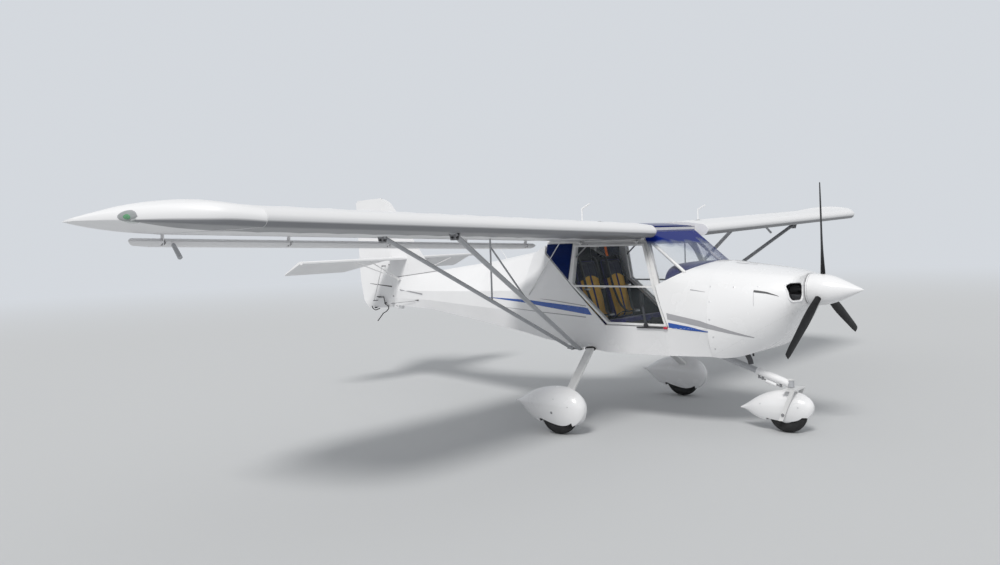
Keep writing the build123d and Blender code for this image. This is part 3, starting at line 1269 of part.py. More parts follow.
# Elevator: two halves on one torque tube, drooped, cut away inboard for the rudder
droop = radians(ELEVATOR_DROOP)
with BuildPart() as elevator:
    with BuildSketch(side_plane(-STAB_HALF_SPAN)):
        hub = (at(ELEVATOR_HINGE_STATION), STAB_Z)
        tail = (hub[0] - ELEVATOR_CHORD * cos(droop), hub[1] - ELEVATOR_CHORD * sin(droop))
        side_step = (sin(droop), cos(droop))
        polygon([
            (hub[0] - side_step[0] * TAIL_NOSE_RADIUS, hub[1] + side_step[1] * TAIL_NOSE_RADIUS),
            (tail[0] - side_step[0] * 3, tail[1] + side_step[1] * 3),
            (tail[0] + side_step[0] * 3, tail[1] - side_step[1] * 3),
            (hub[0] + side_step[0] * TAIL_NOSE_RADIUS, hub[1] - side_step[1] * TAIL_NOSE_RADIUS),
        ])
        with Locations(hub):
            Circle(TAIL_NOSE_RADIUS)
    extrude(amount=-2 * STAB_HALF_SPAN)
    with BuildSketch(Plane.XY):
        for side, sign in SIDES:
            polygon([
                (at(ELEVATOR_HINGE_STATION + 30), sign * 76),
                (at(ELEVATOR_HINGE_STATION - 15), sign * 80),
                (at(ELEVATOR_HINGE_STATION - 285), sign * 490),
                (at(ELEVATOR_HINGE_STATION - 320), sign * 490),
                (at(ELEVATOR_HINGE_STATION - 320), sign * 1180),
                (at(ELEVATOR_HINGE_STATION - 250), sign * STAB_HALF_SPAN),
                (at(ELEVATOR_HINGE_STATION + 30), sign * STAB_HALF_SPAN),
            ])
    extrude(amount=2500, mode=Mode.INTERSECT)
    rod((at(ELEVATOR_HINGE_STATION), -90, STAB_Z), (at(ELEVATOR_HINGE_STATION), 90, STAB_Z), TORQUE_TUBE_RADIUS)
    for side, sign in SIDES:
        ys = sign_range(sign, ELEVATOR_EYE_Y - 10, ELEVATOR_EYE_Y + 10)
        block((ELEVATOR_HINGE_STATION - 24, ELEVATOR_HINGE_STATION + 24), ys, (STAB_Z - 40, STAB_Z + 40), Mode.SUBTRACT)
        rod(
            (at(ELEVATOR_HINGE_STATION), ys[0] - 4, STAB_Z),
            (at(ELEVATOR_HINGE_STATION), ys[1] + 4, STAB_Z),
            EYE_PIN_RADIUS,
        )
finish(elevator, "elevator")
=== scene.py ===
import json
import math

import bmesh
import bpy
from mathutils import Matrix, Vector
from mathutils.bvhtree import BVHTree


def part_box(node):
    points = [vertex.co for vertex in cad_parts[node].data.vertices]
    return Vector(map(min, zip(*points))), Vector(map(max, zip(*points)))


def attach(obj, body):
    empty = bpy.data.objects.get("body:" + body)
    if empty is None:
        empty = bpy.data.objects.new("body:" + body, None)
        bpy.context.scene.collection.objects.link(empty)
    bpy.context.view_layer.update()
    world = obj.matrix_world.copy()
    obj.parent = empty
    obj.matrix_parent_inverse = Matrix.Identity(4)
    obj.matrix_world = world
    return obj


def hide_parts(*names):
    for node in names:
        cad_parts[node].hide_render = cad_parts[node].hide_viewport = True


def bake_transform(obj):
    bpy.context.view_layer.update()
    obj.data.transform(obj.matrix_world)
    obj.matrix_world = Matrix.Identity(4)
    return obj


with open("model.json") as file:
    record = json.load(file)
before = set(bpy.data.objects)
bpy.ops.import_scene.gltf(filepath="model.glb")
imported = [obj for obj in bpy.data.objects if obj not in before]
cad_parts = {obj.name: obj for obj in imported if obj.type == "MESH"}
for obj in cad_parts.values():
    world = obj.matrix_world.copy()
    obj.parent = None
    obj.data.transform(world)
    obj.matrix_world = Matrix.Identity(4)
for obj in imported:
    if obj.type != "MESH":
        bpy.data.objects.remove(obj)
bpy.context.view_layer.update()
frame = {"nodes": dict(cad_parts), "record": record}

# Places taken from the frame, in metres: +X ahead, +Y to the left wing, +Z up from the ground
SIDES = (("left", 1), ("right", -1))
tyre_low, tyre_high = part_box("main_tyre_left")
AXLE_X = (tyre_low + tyre_high).x / 2


# Mesh helpers


def at(station, y, z):
    """A point given by its distance ahead of the main axle, its width and its height."""
    return Vector((AXLE_X + station, y, z))


def on_side(line, sign):
    """Points of the left side turned to a side."""
    return [at(station, sign * y, z) for station, y, z in line]


def at_width(line, y):
    """Points of a line of stations and heights at one width."""
    return [at(station, y, z) for station, z in line]


def on(slot, body="airframe"):
    """The finish, body and slot of a piece, in the order in which the helpers take them."""
    return FINISH[slot], body, slot


def piece(name, points, faces, material, body, slot, smooth=True, sharp=38):
    """One mesh object of given points and faces, finished and riding on a body; sharp is its crease angle."""
    mesh = bpy.data.meshes.new(name)
    mesh.from_pydata([tuple(p) for p in points], [], faces)
    mesh.validate()
    shape = bmesh.new()
    shape.from_mesh(mesh)
    bmesh.ops.recalc_face_normals(shape, faces=shape.faces)
    shape.to_mesh(mesh)
    shape.free()
    made = bpy.data.objects.new(name, mesh)
    bpy.context.scene.collection.objects.link(made)
    mesh.materials.append(material)
    for face in mesh.polygons:
        face.use_smooth = smooth
    mesh.set_sharp_from_angle(angle=math.radians(sharp))
    if body:
        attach(made, body)
    return made


def grid_faces(rows, columns, around=False):
    """Faces of a grid of points stored row by row; around closes each row on itself."""
    faces = []
    for row in range(rows - 1):
        for column in range(columns if around else columns - 1):
            after = (column + 1) % columns
            a = row * columns
            b = a + columns
            faces.append((a + column, a + after, b + after, b + column))
    return faces


def capped_faces(rows, columns):
    """Faces of a closed tube of points stored ring by ring."""
    last = (rows - 1) * columns
    ends = [tuple(range(columns)), tuple(range(last, last + columns))]
    return grid_faces(rows, columns, around=True) + ends


def tube(name, path, radius, material, body, slot, sides=12):
    """A round tube along straight runs, closed at its ends; radius is one size or one for each point."""
    sizes = radius if isinstance(radius, (list, tuple)) else [radius] * len(path)
    points = []
    side = None
    for place, (spot, size) in enumerate(zip(path, sizes)):
        way = (path[min(place + 1, len(path) - 1)] - path[max(place - 1, 0)]).normalized()
        side = way.orthogonal() if side is None else side - way * side.dot(way)
        side.normalize()
        up = way.cross(side)
        for step in range(sides):
            angle = math.tau * step / sides
            points.append(spot + side * (math.cos(angle) * size) + up * (math.sin(angle) * size))
    return piece(name, points, capped_faces(len(path), sides), material, body, slot)


def spun(name, profile, centre, axis, material, body, slot, sides):
    """A turned shape: rows of distance along an axis and radius, round a centre."""
    axis = Vector(axis).normalized()
    side = axis.orthogonal().normalized()
    up = axis.cross(side)
    points = []
    for along, radius in profile:
        for step in range(sides):
            angle = math.tau * step / sides
            out = side * math.cos(angle) + up * math.sin(angle)
            points.append(centre + axis * along + out * radius)
    return piece(name, points, capped_faces(len(profile), sides), material, body, slot)


def slab(name, corners, way, thickness, material, body, slot, bevel):
    """A flat plate of any outline with softened edges; way points through it."""
    way = Vector(way).normalized() * thickness
    points = corners + [p + way for p in corners]
    count = len(corners)
    faces = [tuple(range(count)), tuple(range(2 * count - 1, count - 1, -1))]
    faces += [(k, (k + 1) % count, count + (k + 1) % count, count + k) for k in range(count)]
    made = piece(name, points, faces, material, body, slot)
    changed(made, "BEVEL", width=bevel, segments=2, limit_method="ANGLE")


def box_piece(name, low, high, material, body, slot, bevel=0.003):
    """A softened block between two corners."""
    outline = ((low[0], low[1]), (high[0], low[1]), (high[0], high[1]), (low[0], high[1]))
    corners = [Vector((x, y, low[2])) for x, y in outline]
    slab(name, corners, (0, 0, 1), high[2] - low[2], material, body, slot, bevel)


def changed(made, kind, **values):
    """Give a piece a modifier of a kind with its settings."""
    modifier = made.modifiers.new(kind.lower(), kind)
    for key, value in values.items():
        setattr(modifier, key, value)
    return modifier


def finer(made):
    """Smooth a piece by one level of subdivision."""
    changed(made, "SUBSURF", levels=1, render_levels=1)


def smooth_between(a, b, c, d, t):
    """A smooth curve's value between b and c, with a before them and d after."""
    square, cube = 2 * a - 5 * b + 4 * c - d, 3 * b - a - 3 * c + d
    return 0.5 * (2 * b + (c - a) * t + square * t * t + cube * t ** 3)


def rounded_outline(wide, high, corner, steps):
    """Spots round a rectangle of two half sizes with round corners."""
    spots = []
    for step in range(steps):
        angle = math.tau * step / steps
        c, s = math.cos(angle), math.sin(angle)
        aside = math.copysign(wide - corner, c) + corner * c
        spots.append((aside, math.copysign(high - corner, s) + corner * s))
    return spots


def spread_along(line, steps):
    """Even places along a line of points, from its start to its end."""
    line = [Vector(p) for p in line]
    lengths = [0.0]
    for a, b in zip(line, line[1:]):
        lengths.append(lengths[-1] + (b - a).length)
    spots = []
    for step in range(steps + 1):
        reach = lengths[-1] * step / steps
        run = max(k for k in range(len(line) - 1) if k == 0 or reach > lengths[k])
        share = (reach - lengths[run]) / (lengths[run + 1] - lengths[run])
        spots.append(line[run].lerp(line[run + 1], share))
    return spots


def tree_of(*nodes):
    """The CAD surfaces of some nodes, for laying marks on them."""
    points, faces = [], []
    for node in nodes:
        mesh = frame["nodes"][node].data
        start = len(points)
        points += [vertex.co.copy() for vertex in mesh.vertices]
        faces += [tuple(start + k for k in face.vertices) for face in mesh.polygons]
    return BVHTree.FromPolygons(points, faces)


BAND_STEPS = 60
BAND_ROWS = 8


def laid_on_side(name, tree, upper, lower, sign, material, lift):
    """A painted band between two side lines of stations and heights, laid on the surfaces of one side."""
    points = []
    for top, low in zip(spread_along(upper, BAND_STEPS), spread_along(lower, BAND_STEPS)):
        for row in range(BAND_ROWS + 1):
            station, z = top.lerp(low, row / BAND_ROWS)
            spot, normal, face, distance = tree.ray_cast(at(station, sign * 1.2, z), Vector((0, -sign, 0)))
            if spot is None:
                spot, normal, face, distance = tree.find_nearest(at(station, sign * 0.5, z))
            if normal.y * sign < 0:
                normal = -normal
            points.append(spot + normal * lift)
    piece(name, points, grid_faces(BAND_STEPS + 1, BAND_ROWS + 1), material, "airframe", "white_covering")


# Materials


def link(material, source, target):
    """Join an output socket to an input socket."""
    material.node_tree.links.new(source, target)


def feed(material, target, value):
    """Join an input socket to an output socket, or set it to a plain value."""
    if isinstance(value, bpy.types.NodeSocket):
        link(material, value, target)
    else:
        target.default_value = value


def add_node(material, kind, **values):
    """A node of a kind in a material, with its named inputs."""
    node = material.node_tree.nodes.new(kind)
    for socket, value in values.items():
        feed(material, node.inputs[socket.replace("_", " ")], value)
    return node


def shade(material, **values):
    """Feed the sockets of a material's own shader."""
    for socket, value in values.items():
        feed(material, material.node_tree.nodes["Principled BSDF"].inputs[socket.replace("_", " ")], value)


def shader(name, **sockets):
    """A new material with plain numbers set on its shader's own sockets."""
    made = bpy.data.materials.new(name)
    made.use_nodes = True
    shade(made, **sockets)
    return made


def coordinates(material):
    """The object coordinates, which are the row frame's for every piece."""
    return add_node(material, "ShaderNodeTexCoord").outputs["Object"]


def noise(material, scale, detail=3.0):
    """A noise texture's factor over the row frame."""
    place = coordinates(material)
    return add_node(material, "ShaderNodeTexNoise", Vector=place, Scale=scale, Detail=detail).outputs["Fac"]


def parts(material, vector):
    """The X, Y and Z of a vector socket."""
    return add_node(material, "ShaderNodeSeparateXYZ", Vector=vector).outputs


def reckoned(material, operation, *values):
    """The result of one operation on sockets and plain numbers."""
    node = add_node(material, "ShaderNodeMath")
    node.operation = operation
    for target, value in zip(node.inputs, values):
        feed(material, target, value)
    return node.outputs[0]


def mapped(material, value, **ends):
    """A value mapped from one span to another."""
    return add_node(material, "ShaderNodeMapRange", Value=value, **ends).outputs["Result"]


def mixed(material, factor, first, second, kind="MIX"):
    """Two colours mixed by a factor."""
    node = add_node(material, "ShaderNodeMix")
    node.data_type = "RGBA"
    node.blend_type = kind
    for socket, value in (("Factor", factor), ("A", first), ("B", second)):
        feed(material, node.inputs[socket], value)
    return node.outputs["Result"]


def ramp(material, factor, *stops):
    """Colours blended along a factor; each stop is a place and a colour."""
    node = add_node(material, "ShaderNodeValToRGB", Fac=factor)
    elements = node.color_ramp.elements
    while len(elements) < len(stops):
        elements.new(0.5)
    for element, (place, colour) in zip(elements, stops):
        element.position = place
        element.color = (*colour, 1)
    return node.outputs["Color"]


def weave(material, pitch):
    """A woven height factor: two sets of threads at a pitch in metres."""
    threads = []
    for direction in ("X", "Z"):
        place = coordinates(material)
        wave = add_node(material, "ShaderNodeTexWave", Vector=place, Scale=1 / (pitch * 20), Distortion=0.4)
        wave.bands_direction = direction
        threads.append(wave.outputs["Fac"])
    return reckoned(material, "MULTIPLY", *threads)


def mottled(material, colour, spread, scale):
    """Give a material a base colour that varies a little over its surface."""
    dark = [max(channel * (1 - spread), 0) for channel in colour]
    light = [min(channel * (1 + spread), 1) for channel in colour]
    shade(material, Base_Color=ramp(material, noise(material, scale), (0.3, dark), (0.7, light)))


def textured(material, wear, grain, strength, depth):
    """Uneven roughness and a fine bump; grain is a weave's pitch, or a noise's scale and detail."""
    low, high, scale = wear
    height = weave(material, grain) if isinstance(grain, float) else noise(material, *grain)
    bump = add_node(material, "ShaderNodeBump", Height=height, Strength=strength, Distance=depth)
    rough = mapped(material, noise(material, scale, 4.0), To_Min=low, To_Max=high)
    shade(material, Roughness=rough, Normal=bump.outputs["Normal"])
    return material


def painted_fabric(name, colour):
    """Doped aircraft fabric: a fine weave showing through satin paint."""
    made = shader(name, Specular_IOR_Level=0.4)
    mottled(made, colour, 0.03, 2.0)
    return textured(made, (0.34, 0.46, 9), 0.0016, 0.12, 0.0004)


def gel_coat(name, colour):
    """Polished moulding paint with a slight orange peel."""
    made = shader(name, Specular_IOR_Level=0.5, Coat_Weight=0.5, Coat_Roughness=0.08)
    mottled(made, colour, 0.02, 1.5)
    return textured(made, (0.2, 0.32, 7), (60, 2.0), 0.05, 0.0006)


def enamel(name, colour, rough=0.35):
    """Brushed-on enamel over metal tube."""
    made = shader(name, Specular_IOR_Level=0.5)
    mottled(made, colour, 0.05, 12)
    return textured(made, (rough - 0.08, rough + 0.1, 25), (140, 3.0), 0.08, 0.0004)


def bare_metal(name, colour, rough=0.35):
    """Plain metal with fine drawn scratches."""
    made = shader(name, Metallic=0.9)
    mottled(made, colour, 0.12, 18)
    return textured(made, (rough - 0.1, rough + 0.15, 40), (260, 4.0), 0.12, 0.0003)


def rubber(name, colour):
    """Dusty tyre rubber."""
    made = shader(name, Specular_IOR_Level=0.3)
    mottled(made, colour, 0.35, 22)
    return textured(made, (0.62, 0.85, 30), (320, 5.0), 0.3, 0.0006)


def cloth(name, colour, pitch=0.0022):
    """Woven seat cloth with a soft sheen."""
    made = shader(name, Sheen_Weight=0.35, Sheen_Roughness=0.5, Specular_IOR_Level=0.2)
    mottled(made, colour, 0.16, 40)
    return textured(made, (0.75, 0.92, 30), pitch, 0.5, 0.0008)


def crackle(name, colour, gloss=0.35):
    """Black crackle paint of a panel or a blade."""
    made = shader(name, Specular_IOR_Level=gloss)
    mottled(made, colour, 0.25, 30)
    return textured(made, (0.38, 0.55, 18), (500, 4.0), 0.2, 0.0003)


def glazing(name, colour, clear, gloss=0.5):
    """Acrylic sheet: nearly clear face on and glossy at a slant; clear is its opacity face on."""
    made = shader(name, Roughness=0.05, Specular_IOR_Level=gloss, IOR=1.2)
    mottled(made, colour, 0.04, 3)
    slant = add_node(made, "ShaderNodeLayerWeight", Blend=0.22).outputs["Facing"]
    shade(made, Alpha=mapped(made, slant, To_Min=clear, To_Max=min(clear + 0.22, 1)))
    return made


def banded_glass(name, tint, band_colour, clear, edge, wave):
    """Clear sheet with a dense tinted band above a wavy edge; heights are in metres."""
    made = shader(name, Roughness=0.06, Specular_IOR_Level=0.2, IOR=1.12)
    wavy = mapped(made, noise(made, 7.0, 1.0), To_Min=-wave, To_Max=wave)
    height = reckoned(made, "ADD", parts(made, coordinates(made))["Z"], wavy)
    band = mapped(made, height, From_Min=edge - 0.02, From_Max=edge + 0.03)
    slant = add_node(made, "ShaderNodeLayerWeight", Blend=0.3).outputs["Facing"]
    either = reckoned(made, "MAXIMUM", band, mapped(made, slant, From_Min=0.25, From_Max=0.75))
    plain = mapped(made, slant, To_Min=clear, To_Max=clear + 0.5)
    shade(made, Base_Color=ramp(made, either, (0.0, tint), (1.0, band_colour)),
          Alpha=reckoned(made, "MAXIMUM", plain, mapped(made, band, To_Max=0.97)))
    return made


def wing_fabric_painted_shade():
    """Doped fabric of the wing, white, with painted shade: dark grey where it faces down ahead of mid-chord,
    standing in for the shade under the opaque nose sheet and tanks.
    """
    made = shader("wing_fabric_painted_shade", Specular_IOR_Level=0.4)
    # Painted shade: the colour turns dark grey where the surface faces down and lies ahead of mid-chord
    facing = add_node(made, "ShaderNodeNewGeometry").outputs["Normal"]
    below = mapped(made, parts(made, facing)["Z"], From_Min=-0.30, From_Max=-0.50)
    front = mapped(made, parts(made, coordinates(made))["X"], From_Min=AXLE_X + 0.07, From_Max=AXLE_X + 0.10)
    both = reckoned(made, "MULTIPLY", below, front)
    shade(made, Base_Color=ramp(made, both, (0.0, (0.80, 0.80, 0.81)), (1.0, (0.23, 0.235, 0.25))))
    return textured(made, (0.34, 0.46, 9), 0.0016, 0.12, 0.0004)


# The seats' middle, and the arched upper edge of the tan panels on their backs
SEAT_MIDDLE = 0.204
PANEL_TOP_Z = 1.225
PANEL_ARCH = 2.2
PANEL_DARK = (0.014, 0.014, 0.045, 1)


def seat_stripes(name, blue, tan):
    """Seat cloth: tan panels down the middle of each seat, dark above their arched edge, and blue sides."""
    made = shader(name, Sheen_Weight=0.35, Sheen_Roughness=0.5, Specular_IOR_Level=0.2)
    place = parts(made, coordinates(made))
    width = reckoned(made, "ABSOLUTE", place["Y"])
    away = reckoned(made, "ABSOLUTE", reckoned(made, "SUBTRACT", width, SEAT_MIDDLE))
    stripes = ramp(made, away, (0.0, blue), (0.014, blue), (0.016, tan), (0.132, tan), (0.135, blue))
    arch = reckoned(made, "MULTIPLY_ADD", reckoned(made, "MULTIPLY", away, away), PANEL_ARCH, place["Z"])
    above = mapped(made, arch, From_Min=PANEL_TOP_Z, From_Max=PANEL_TOP_Z + 0.003)
    spots = ramp(made, noise(made, 26), (0.3, (0.86, 0.86, 0.86)), (0.7, (1.0, 1.0, 1.0)))
    shade(made, Base_Color=mixed(made, 1.0, mixed(made, above, stripes, PANEL_DARK), spots, "MULTIPLY"))
    return textured(made, (0.75, 0.92, 30), 0.0022, 0.5, 0.0008)


FINISH = {name: kind(name, *values) for name, kind, *values in (
    ("white_covering", painted_fabric, (0.80, 0.80, 0.81)),
    ("white_moulding", gel_coat, (0.81, 0.81, 0.82)),
    ("engine_metal", bare_metal, (0.30, 0.30, 0.31), 0.5),
    ("firewall_sheet", bare_metal, (0.55, 0.55, 0.56), 0.4),
    ("clear_glazing", glazing, (0.55, 0.62, 0.66), 0.015),
    ("white_tube", enamel, (0.74, 0.74, 0.74)),
    ("panel_black", crackle, (0.030, 0.030, 0.034)),
    ("bay_sheet", enamel, (0.10, 0.10, 0.12), 0.6),
    ("seat_cloth", cloth, (0.030, 0.026, 0.14)),
    ("blade_black", crackle, (0.010, 0.010, 0.011), 0.2),
    ("tyre_black", rubber, (0.022, 0.022, 0.023)),
    ("rim_metal", bare_metal, (0.62, 0.62, 0.63)),
    ("lamp_red", glazing, (0.6, 0.02, 0.02), 0.8),
    ("lamp_green", glazing, (0.06, 0.35, 0.12), 0.8),
)}
MOULDING, METAL, TUBING = on("white_moulding"), on("engine_metal"), on("white_tube")
BLACK, BAY, RIM = on("panel_black"), on("bay_sheet"), on("rim_metal")
WING_FABRIC_PAINTED_SHADE = wing_fabric_painted_shade()
SCREEN_GLASS = banded_glass("screen_glass", (0.40, 0.46, 0.52), (0.004, 0.016, 0.17), 0.02, 1.488, 0.045)
TINTED_GLASS = glazing("tinted_glass", (0.006, 0.018, 0.10), 0.86, 0.3)
SKYLIGHT_GLASS = glazing("skylight_glass", (0.004, 0.018, 0.15), 0.94, 0.2)
LAMP_COVER = glazing("lamp_cover", (0.42, 0.50, 0.46), 0.18)
BAND_BLUE = gel_coat("band_blue", (0.010, 0.075, 0.36))
BAND_GREY = gel_coat("band_grey", (0.36, 0.36, 0.38))
SEAM_GREY = enamel("seam_grey", (0.34, 0.34, 0.36), 0.5)
# Dark seams, exits and exhaust; also the painted shadow strip on the rudder
DARK_SEAM_AND_PAINTED_SHADOW = enamel("dark_seam_and_painted_shadow", (0.06, 0.06, 0.065), 0.5)
HOOD_BLUE = cloth("hood_blue", (0.030, 0.030, 0.115), 0.003)
LINING = cloth("lining", (0.022, 0.022, 0.030), 0.004)
SEAT_CLOTH = seat_stripes("seat_panels", (0.030, 0.024, 0.17), (0.98, 0.57, 0.070))
SEAT_BLUE = cloth("seat_blue", (0.035, 0.028, 0.20))
WEBBING = cloth("webbing", (0.016, 0.016, 0.018), 0.0012)
DIAL_FACE = crackle("dial_face", (0.010, 0.010, 0.012))
DIAL_WHITE = enamel("dial_white", (0.75, 0.75, 0.72))
STRUT_GREY = enamel("strut_grey", (0.42, 0.43, 0.45), 0.3)
LATCH_RED = enamel("latch_red", (0.55, 0.02, 0.05), 0.35)
RIBBON = cloth("ribbon", (0.75, 0.16, 0.03), 0.001)
NODE_FINISH = {"skylight": SKYLIGHT_GLASS, "nose_leg": STRUT_GREY}
for side, sign in SIDES:
    NODE_FINISH[f"quarter_window_{side}"] = TINTED_GLASS
    NODE_FINISH[f"front_strut_{side}"] = NODE_FINISH[f"rear_strut_{side}"] = STRUT_GREY


def dress_frame():
    """Give each carried CAD node its own finish, or that of its slot."""
    for subpart in frame["record"]["subparts"]:
        node = frame["nodes"][subpart["node"]]
        node.data.materials.clear()
        node.data.materials.append(NODE_FINISH.get(subpart["node"], FINISH[subpart["material_slot"]]))


# Wings: fabric over ribs, laid close over the closed CAD panels

WING_BOTTOM_Z = 1.534
DIHEDRAL_RISE = 0.0355
LEADING_STATION = 0.597
CHORD = 1.114
NOSE_RISE = 0.052
TOP_RISE = 0.122
TRAILING_DROP = 0.004
TRAILING_THICKNESS = 0.007
WING_ROOT = 0.431
TIP_START = 4.0495
HALF_SPAN = 4.56
WING_BAYS = 13
BAY_STEPS = (0.0, 0.06, 0.16, 0.3, 0.5, 0.7, 0.84, 0.94)
RIB_LIFT = 0.0052
BAY_LIFT = 0.0012
SKIN_EDGE = 0.0004


def wing_bottom(y):
    """Height of the wing's underside at a width."""
    return WING_BOTTOM_Z + DIHEDRAL_RISE * abs(y)


def arc_from(start, tangent, end, count):
    """Points after the start of an arc that leaves it along a tangent."""
    normal = Vector((-tangent[1], tangent[0])).normalized()
    gap = Vector(end) - Vector(start)
    radius = gap.length_squared / (2 * gap.dot(normal))
    centre = Vector(start) + normal * radius
    first = Vector(start) - centre
    turn = first.angle_signed(Vector(end) - centre)
    points = []
    for step in range(1, count + 1):
        angle = -turn * step / count
        points.append((centre.x + first.x * math.cos(angle) - first.y * math.sin(angle),
                       centre.y + first.x * math.sin(angle) + first.y * math.cos(angle)))
    return points


def wing_section(nose, chord, bottom, share):
    """Stations and heights round a wing section, from the trailing edge over the nose and back below."""
    rise = NOSE_RISE * share
    crest_rise = TOP_RISE * share
    tail_low = (nose - chord, bottom - TRAILING_DROP * share)
    tail_high = (tail_low[0], tail_low[1] + TRAILING_THICKNESS * share)
    crest = (nose - chord * 0.3, bottom + crest_rise)
    brow = (nose - chord * 0.05, bottom + crest_rise * 0.8)
    front = arc_from(crest, (1, 0), brow, 7)
    slope = (Vector(brow) - Vector(crest)).angle_signed(Vector((1, 0)))
    tangent = (math.cos(2 * slope), math.sin(2 * slope))
    turned_tail = (2 * crest[0] - tail_high[0], tail_high[1])
    back = [(2 * crest[0] - x, z) for x, z in arc_from(crest, (1, 0), turned_tail, 14)]
    round_nose = arc_from(brow, tangent, (nose, bottom + rise), 6)
    chin = []
    for k in range(1, 7):
        angle = k * math.pi / 12
        chin.append((nose - rise * (1 - math.cos(angle)), bottom + rise * (1 - math.sin(angle))))
    belly = (nose - rise, bottom)
    under = [(belly[0] + (tail_low[0] - belly[0]) * k / 12, belly[1] + (tail_low[1] - belly[1]) * k / 12)
             for k in range(1, 13)]
    return back[::-1] + [crest] + front + round_nose + chin + under


def lifted(section, chord, nose, sag):
    """Move a section's points out onto the fabric; without a sag they stay in the panel."""
    moved = []
    count = len(section)
    for place, (x, z) in enumerate(section):
        before = section[max(place - 1, 0)]
        after = section[min(place + 1, count - 1)]
        way = Vector((after[0] - before[0], after[1] - before[1])).normalized()
        amount = 0.0 if sag is None else skin_lift(sag, (nose - x) / chord)
        moved.append((x - way.y * amount, z + way.x * amount))
    return moved


def stretch(share, low, high):
    """A smooth step from 0 to 1 between two values."""
    t = min(max((share - low) / (high - low), 0), 1)
    return t * t * (3 - 2 * t)


def skin_lift(sag, share):
    """Lift of the fabric from the CAD panel, by how far it sags and the share of the chord."""
    slack = stretch(share, 0.10, 0.24) * (1 - stretch(share, 0.86, 1.0))
    rib = BAY_LIFT + (RIB_LIFT - BAY_LIFT) * slack
    return rib - (rib - BAY_LIFT) * sag


def make_wing_skin(side, sign):
    """Fabric over the ribs of one wing, sagging a little in each bay."""
    width = (TIP_START - WING_ROOT) / WING_BAYS
    rows = [(WING_ROOT - SKIN_EDGE, None)]
    for bay in range(WING_BAYS):
        rows += [(WING_ROOT + width * (bay + share), 4 * share * (1 - share)) for share in BAY_STEPS]
    rows += [(TIP_START, 0.0), (TIP_START + SKIN_EDGE, None)]
    points = []
    for y, sag in rows:
        section = wing_section(LEADING_STATION, CHORD, wing_bottom(y), 1)
        for x, z in lifted(section, CHORD, LEADING_STATION, sag):
            points.append(at(x, sign * y, z))
    faces = grid_faces(len(rows), len(points) // len(rows), around=True)
    piece(f"wing_skin_{side}", points, faces, WING_FABRIC_PAINTED_SHADE, "airframe", "white_covering", sharp=50)


# Wing tip sections: distance in from the tip, nose station, lift of the underside and share of thickness
TIP_ROWS = (
    (0.5095, 0.597, 0.0, 1.0),
    (0.31, 0.487, 0.010, 1.12),
    (0.14, 0.242, 0.028, 0.84),
    (0.04, -0.061, 0.044, 0.40),
    (0.0, -0.380, 0.052, 0.10),
)
TRAILING_STATION = -0.517
TIP_STEPS = 8
LAMP_PLACE = (0.055, 4.478, 1.752)
LAMP_HALF = (0.062, 0.025)
LAMP_LONG = Vector((1.0, -0.62, 0.0))
BLISTER_RINGS = 7
BLISTER_TURNS = 40


def tip_row(share):
    """A smooth tip section between the given ones; share runs from the wing to the tip."""
    run = min(int(share * 4), 3)
    around = [TIP_ROWS[min(max(run + k, 0), 4)] for k in (-1, 0, 1, 2)]
    return [smooth_between(*values, share * 4 - run) for values in zip(*around)]


def make_wing_tip(side, sign):
    """A smooth raked tip with a clear lamp cover let into its nose."""
    rows = [tip_row(k / (4 * TIP_STEPS)) for k in range(4 * TIP_STEPS + 1)]
    points = []
    for inward, nose, lift, share in rows:
        y = HALF_SPAN - max(inward, 0)
        for x, z in wing_section(nose, nose - TRAILING_STATION, wing_bottom(y) + lift, max(share, 0.08)):
            points.append(at(x, sign * y, z))
    columns = len(points) // len(rows)
    faces = grid_faces(len(rows), columns, around=True)
    faces.append(tuple(range(len(points) - columns, len(points))))
    # The tip's skin takes the wing's fabric, with its painted shade under the nose
    tip = piece(f"wing_tip_skin_{side}", points, faces, WING_FABRIC_PAINTED_SHADE, "airframe", "white_moulding", sharp=60)
    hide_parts(f"wing_tip_{side}")
    surface = BVHTree.FromPolygons(points, faces)
    lamp = "lamp_red" if side == "left" else "lamp_green"
    cover = tip_blister(f"lamp_cover_{side}", surface, sign, 1.0, 0.010, 0.002, LAMP_COVER, lamp)
    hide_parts(f"tip_lens_{side}")
    tip_blister(f"lamp_rim_{side}", surface, sign, 1.12, 0.0022, 0.0006, SEAM_GREY, "white_moulding")
    tip_blister(f"lamp_{side}", surface, sign, 0.42, 0.0065, 0.0024, FINISH[lamp], lamp)


def tip_blister(name, surface, sign, share, height, lift, material, slot):
    """A low dome laid on the wing tip's nose round the lamp; share is its size against the lamp cover's."""
    middle = at(LAMP_PLACE[0], sign * LAMP_PLACE[1], LAMP_PLACE[2])
    along = Vector((LAMP_LONG.x, sign * LAMP_LONG.y, 0)).normalized()
    spots = []
    for ring in range(1, BLISTER_RINGS + 1):
        r = ring / BLISTER_RINGS
        for step in range(BLISTER_TURNS):
            angle = math.tau * step / BLISTER_TURNS
            spot = middle + along * (math.cos(angle) * r * share * LAMP_HALF[0])
            spot.z += math.sin(angle) * r * share * LAMP_HALF[1]
            spots.append((spot, r))
    spots.append((middle, 0))
    points = []
    for spot, r in spots:
        near, normal, face, distance = surface.find_nearest(spot)
        out = normal if normal.y * sign > 0 or normal.x > 0.3 else -normal
        points.append(near + out * (lift + height * math.sqrt(1 - r * r)))
    faces = grid_faces(BLISTER_RINGS, BLISTER_TURNS, around=True)
    faces += [(step, (step + 1) % BLISTER_TURNS, len(points) - 1) for step in range(BLISTER_TURNS)]
    return piece(name, points, faces, material, "airframe", slot)


# Windscreen: one bent sheet, a cone on each side and flat in the middle

SCREEN_FOOT = (0.632, 1.1813)
SCREEN_CREST = (0.945, 1.3473)
SCREEN_CURVE = ((0.453, 0.0), (0.352, 0.212), (0.026, 0.353))
SCREEN_APEX = (0.460, 0.417, 1.611)
SCREEN_TOP = 0.4703
SCREEN_RUNS = 28
SCREEN_ROWS = 14


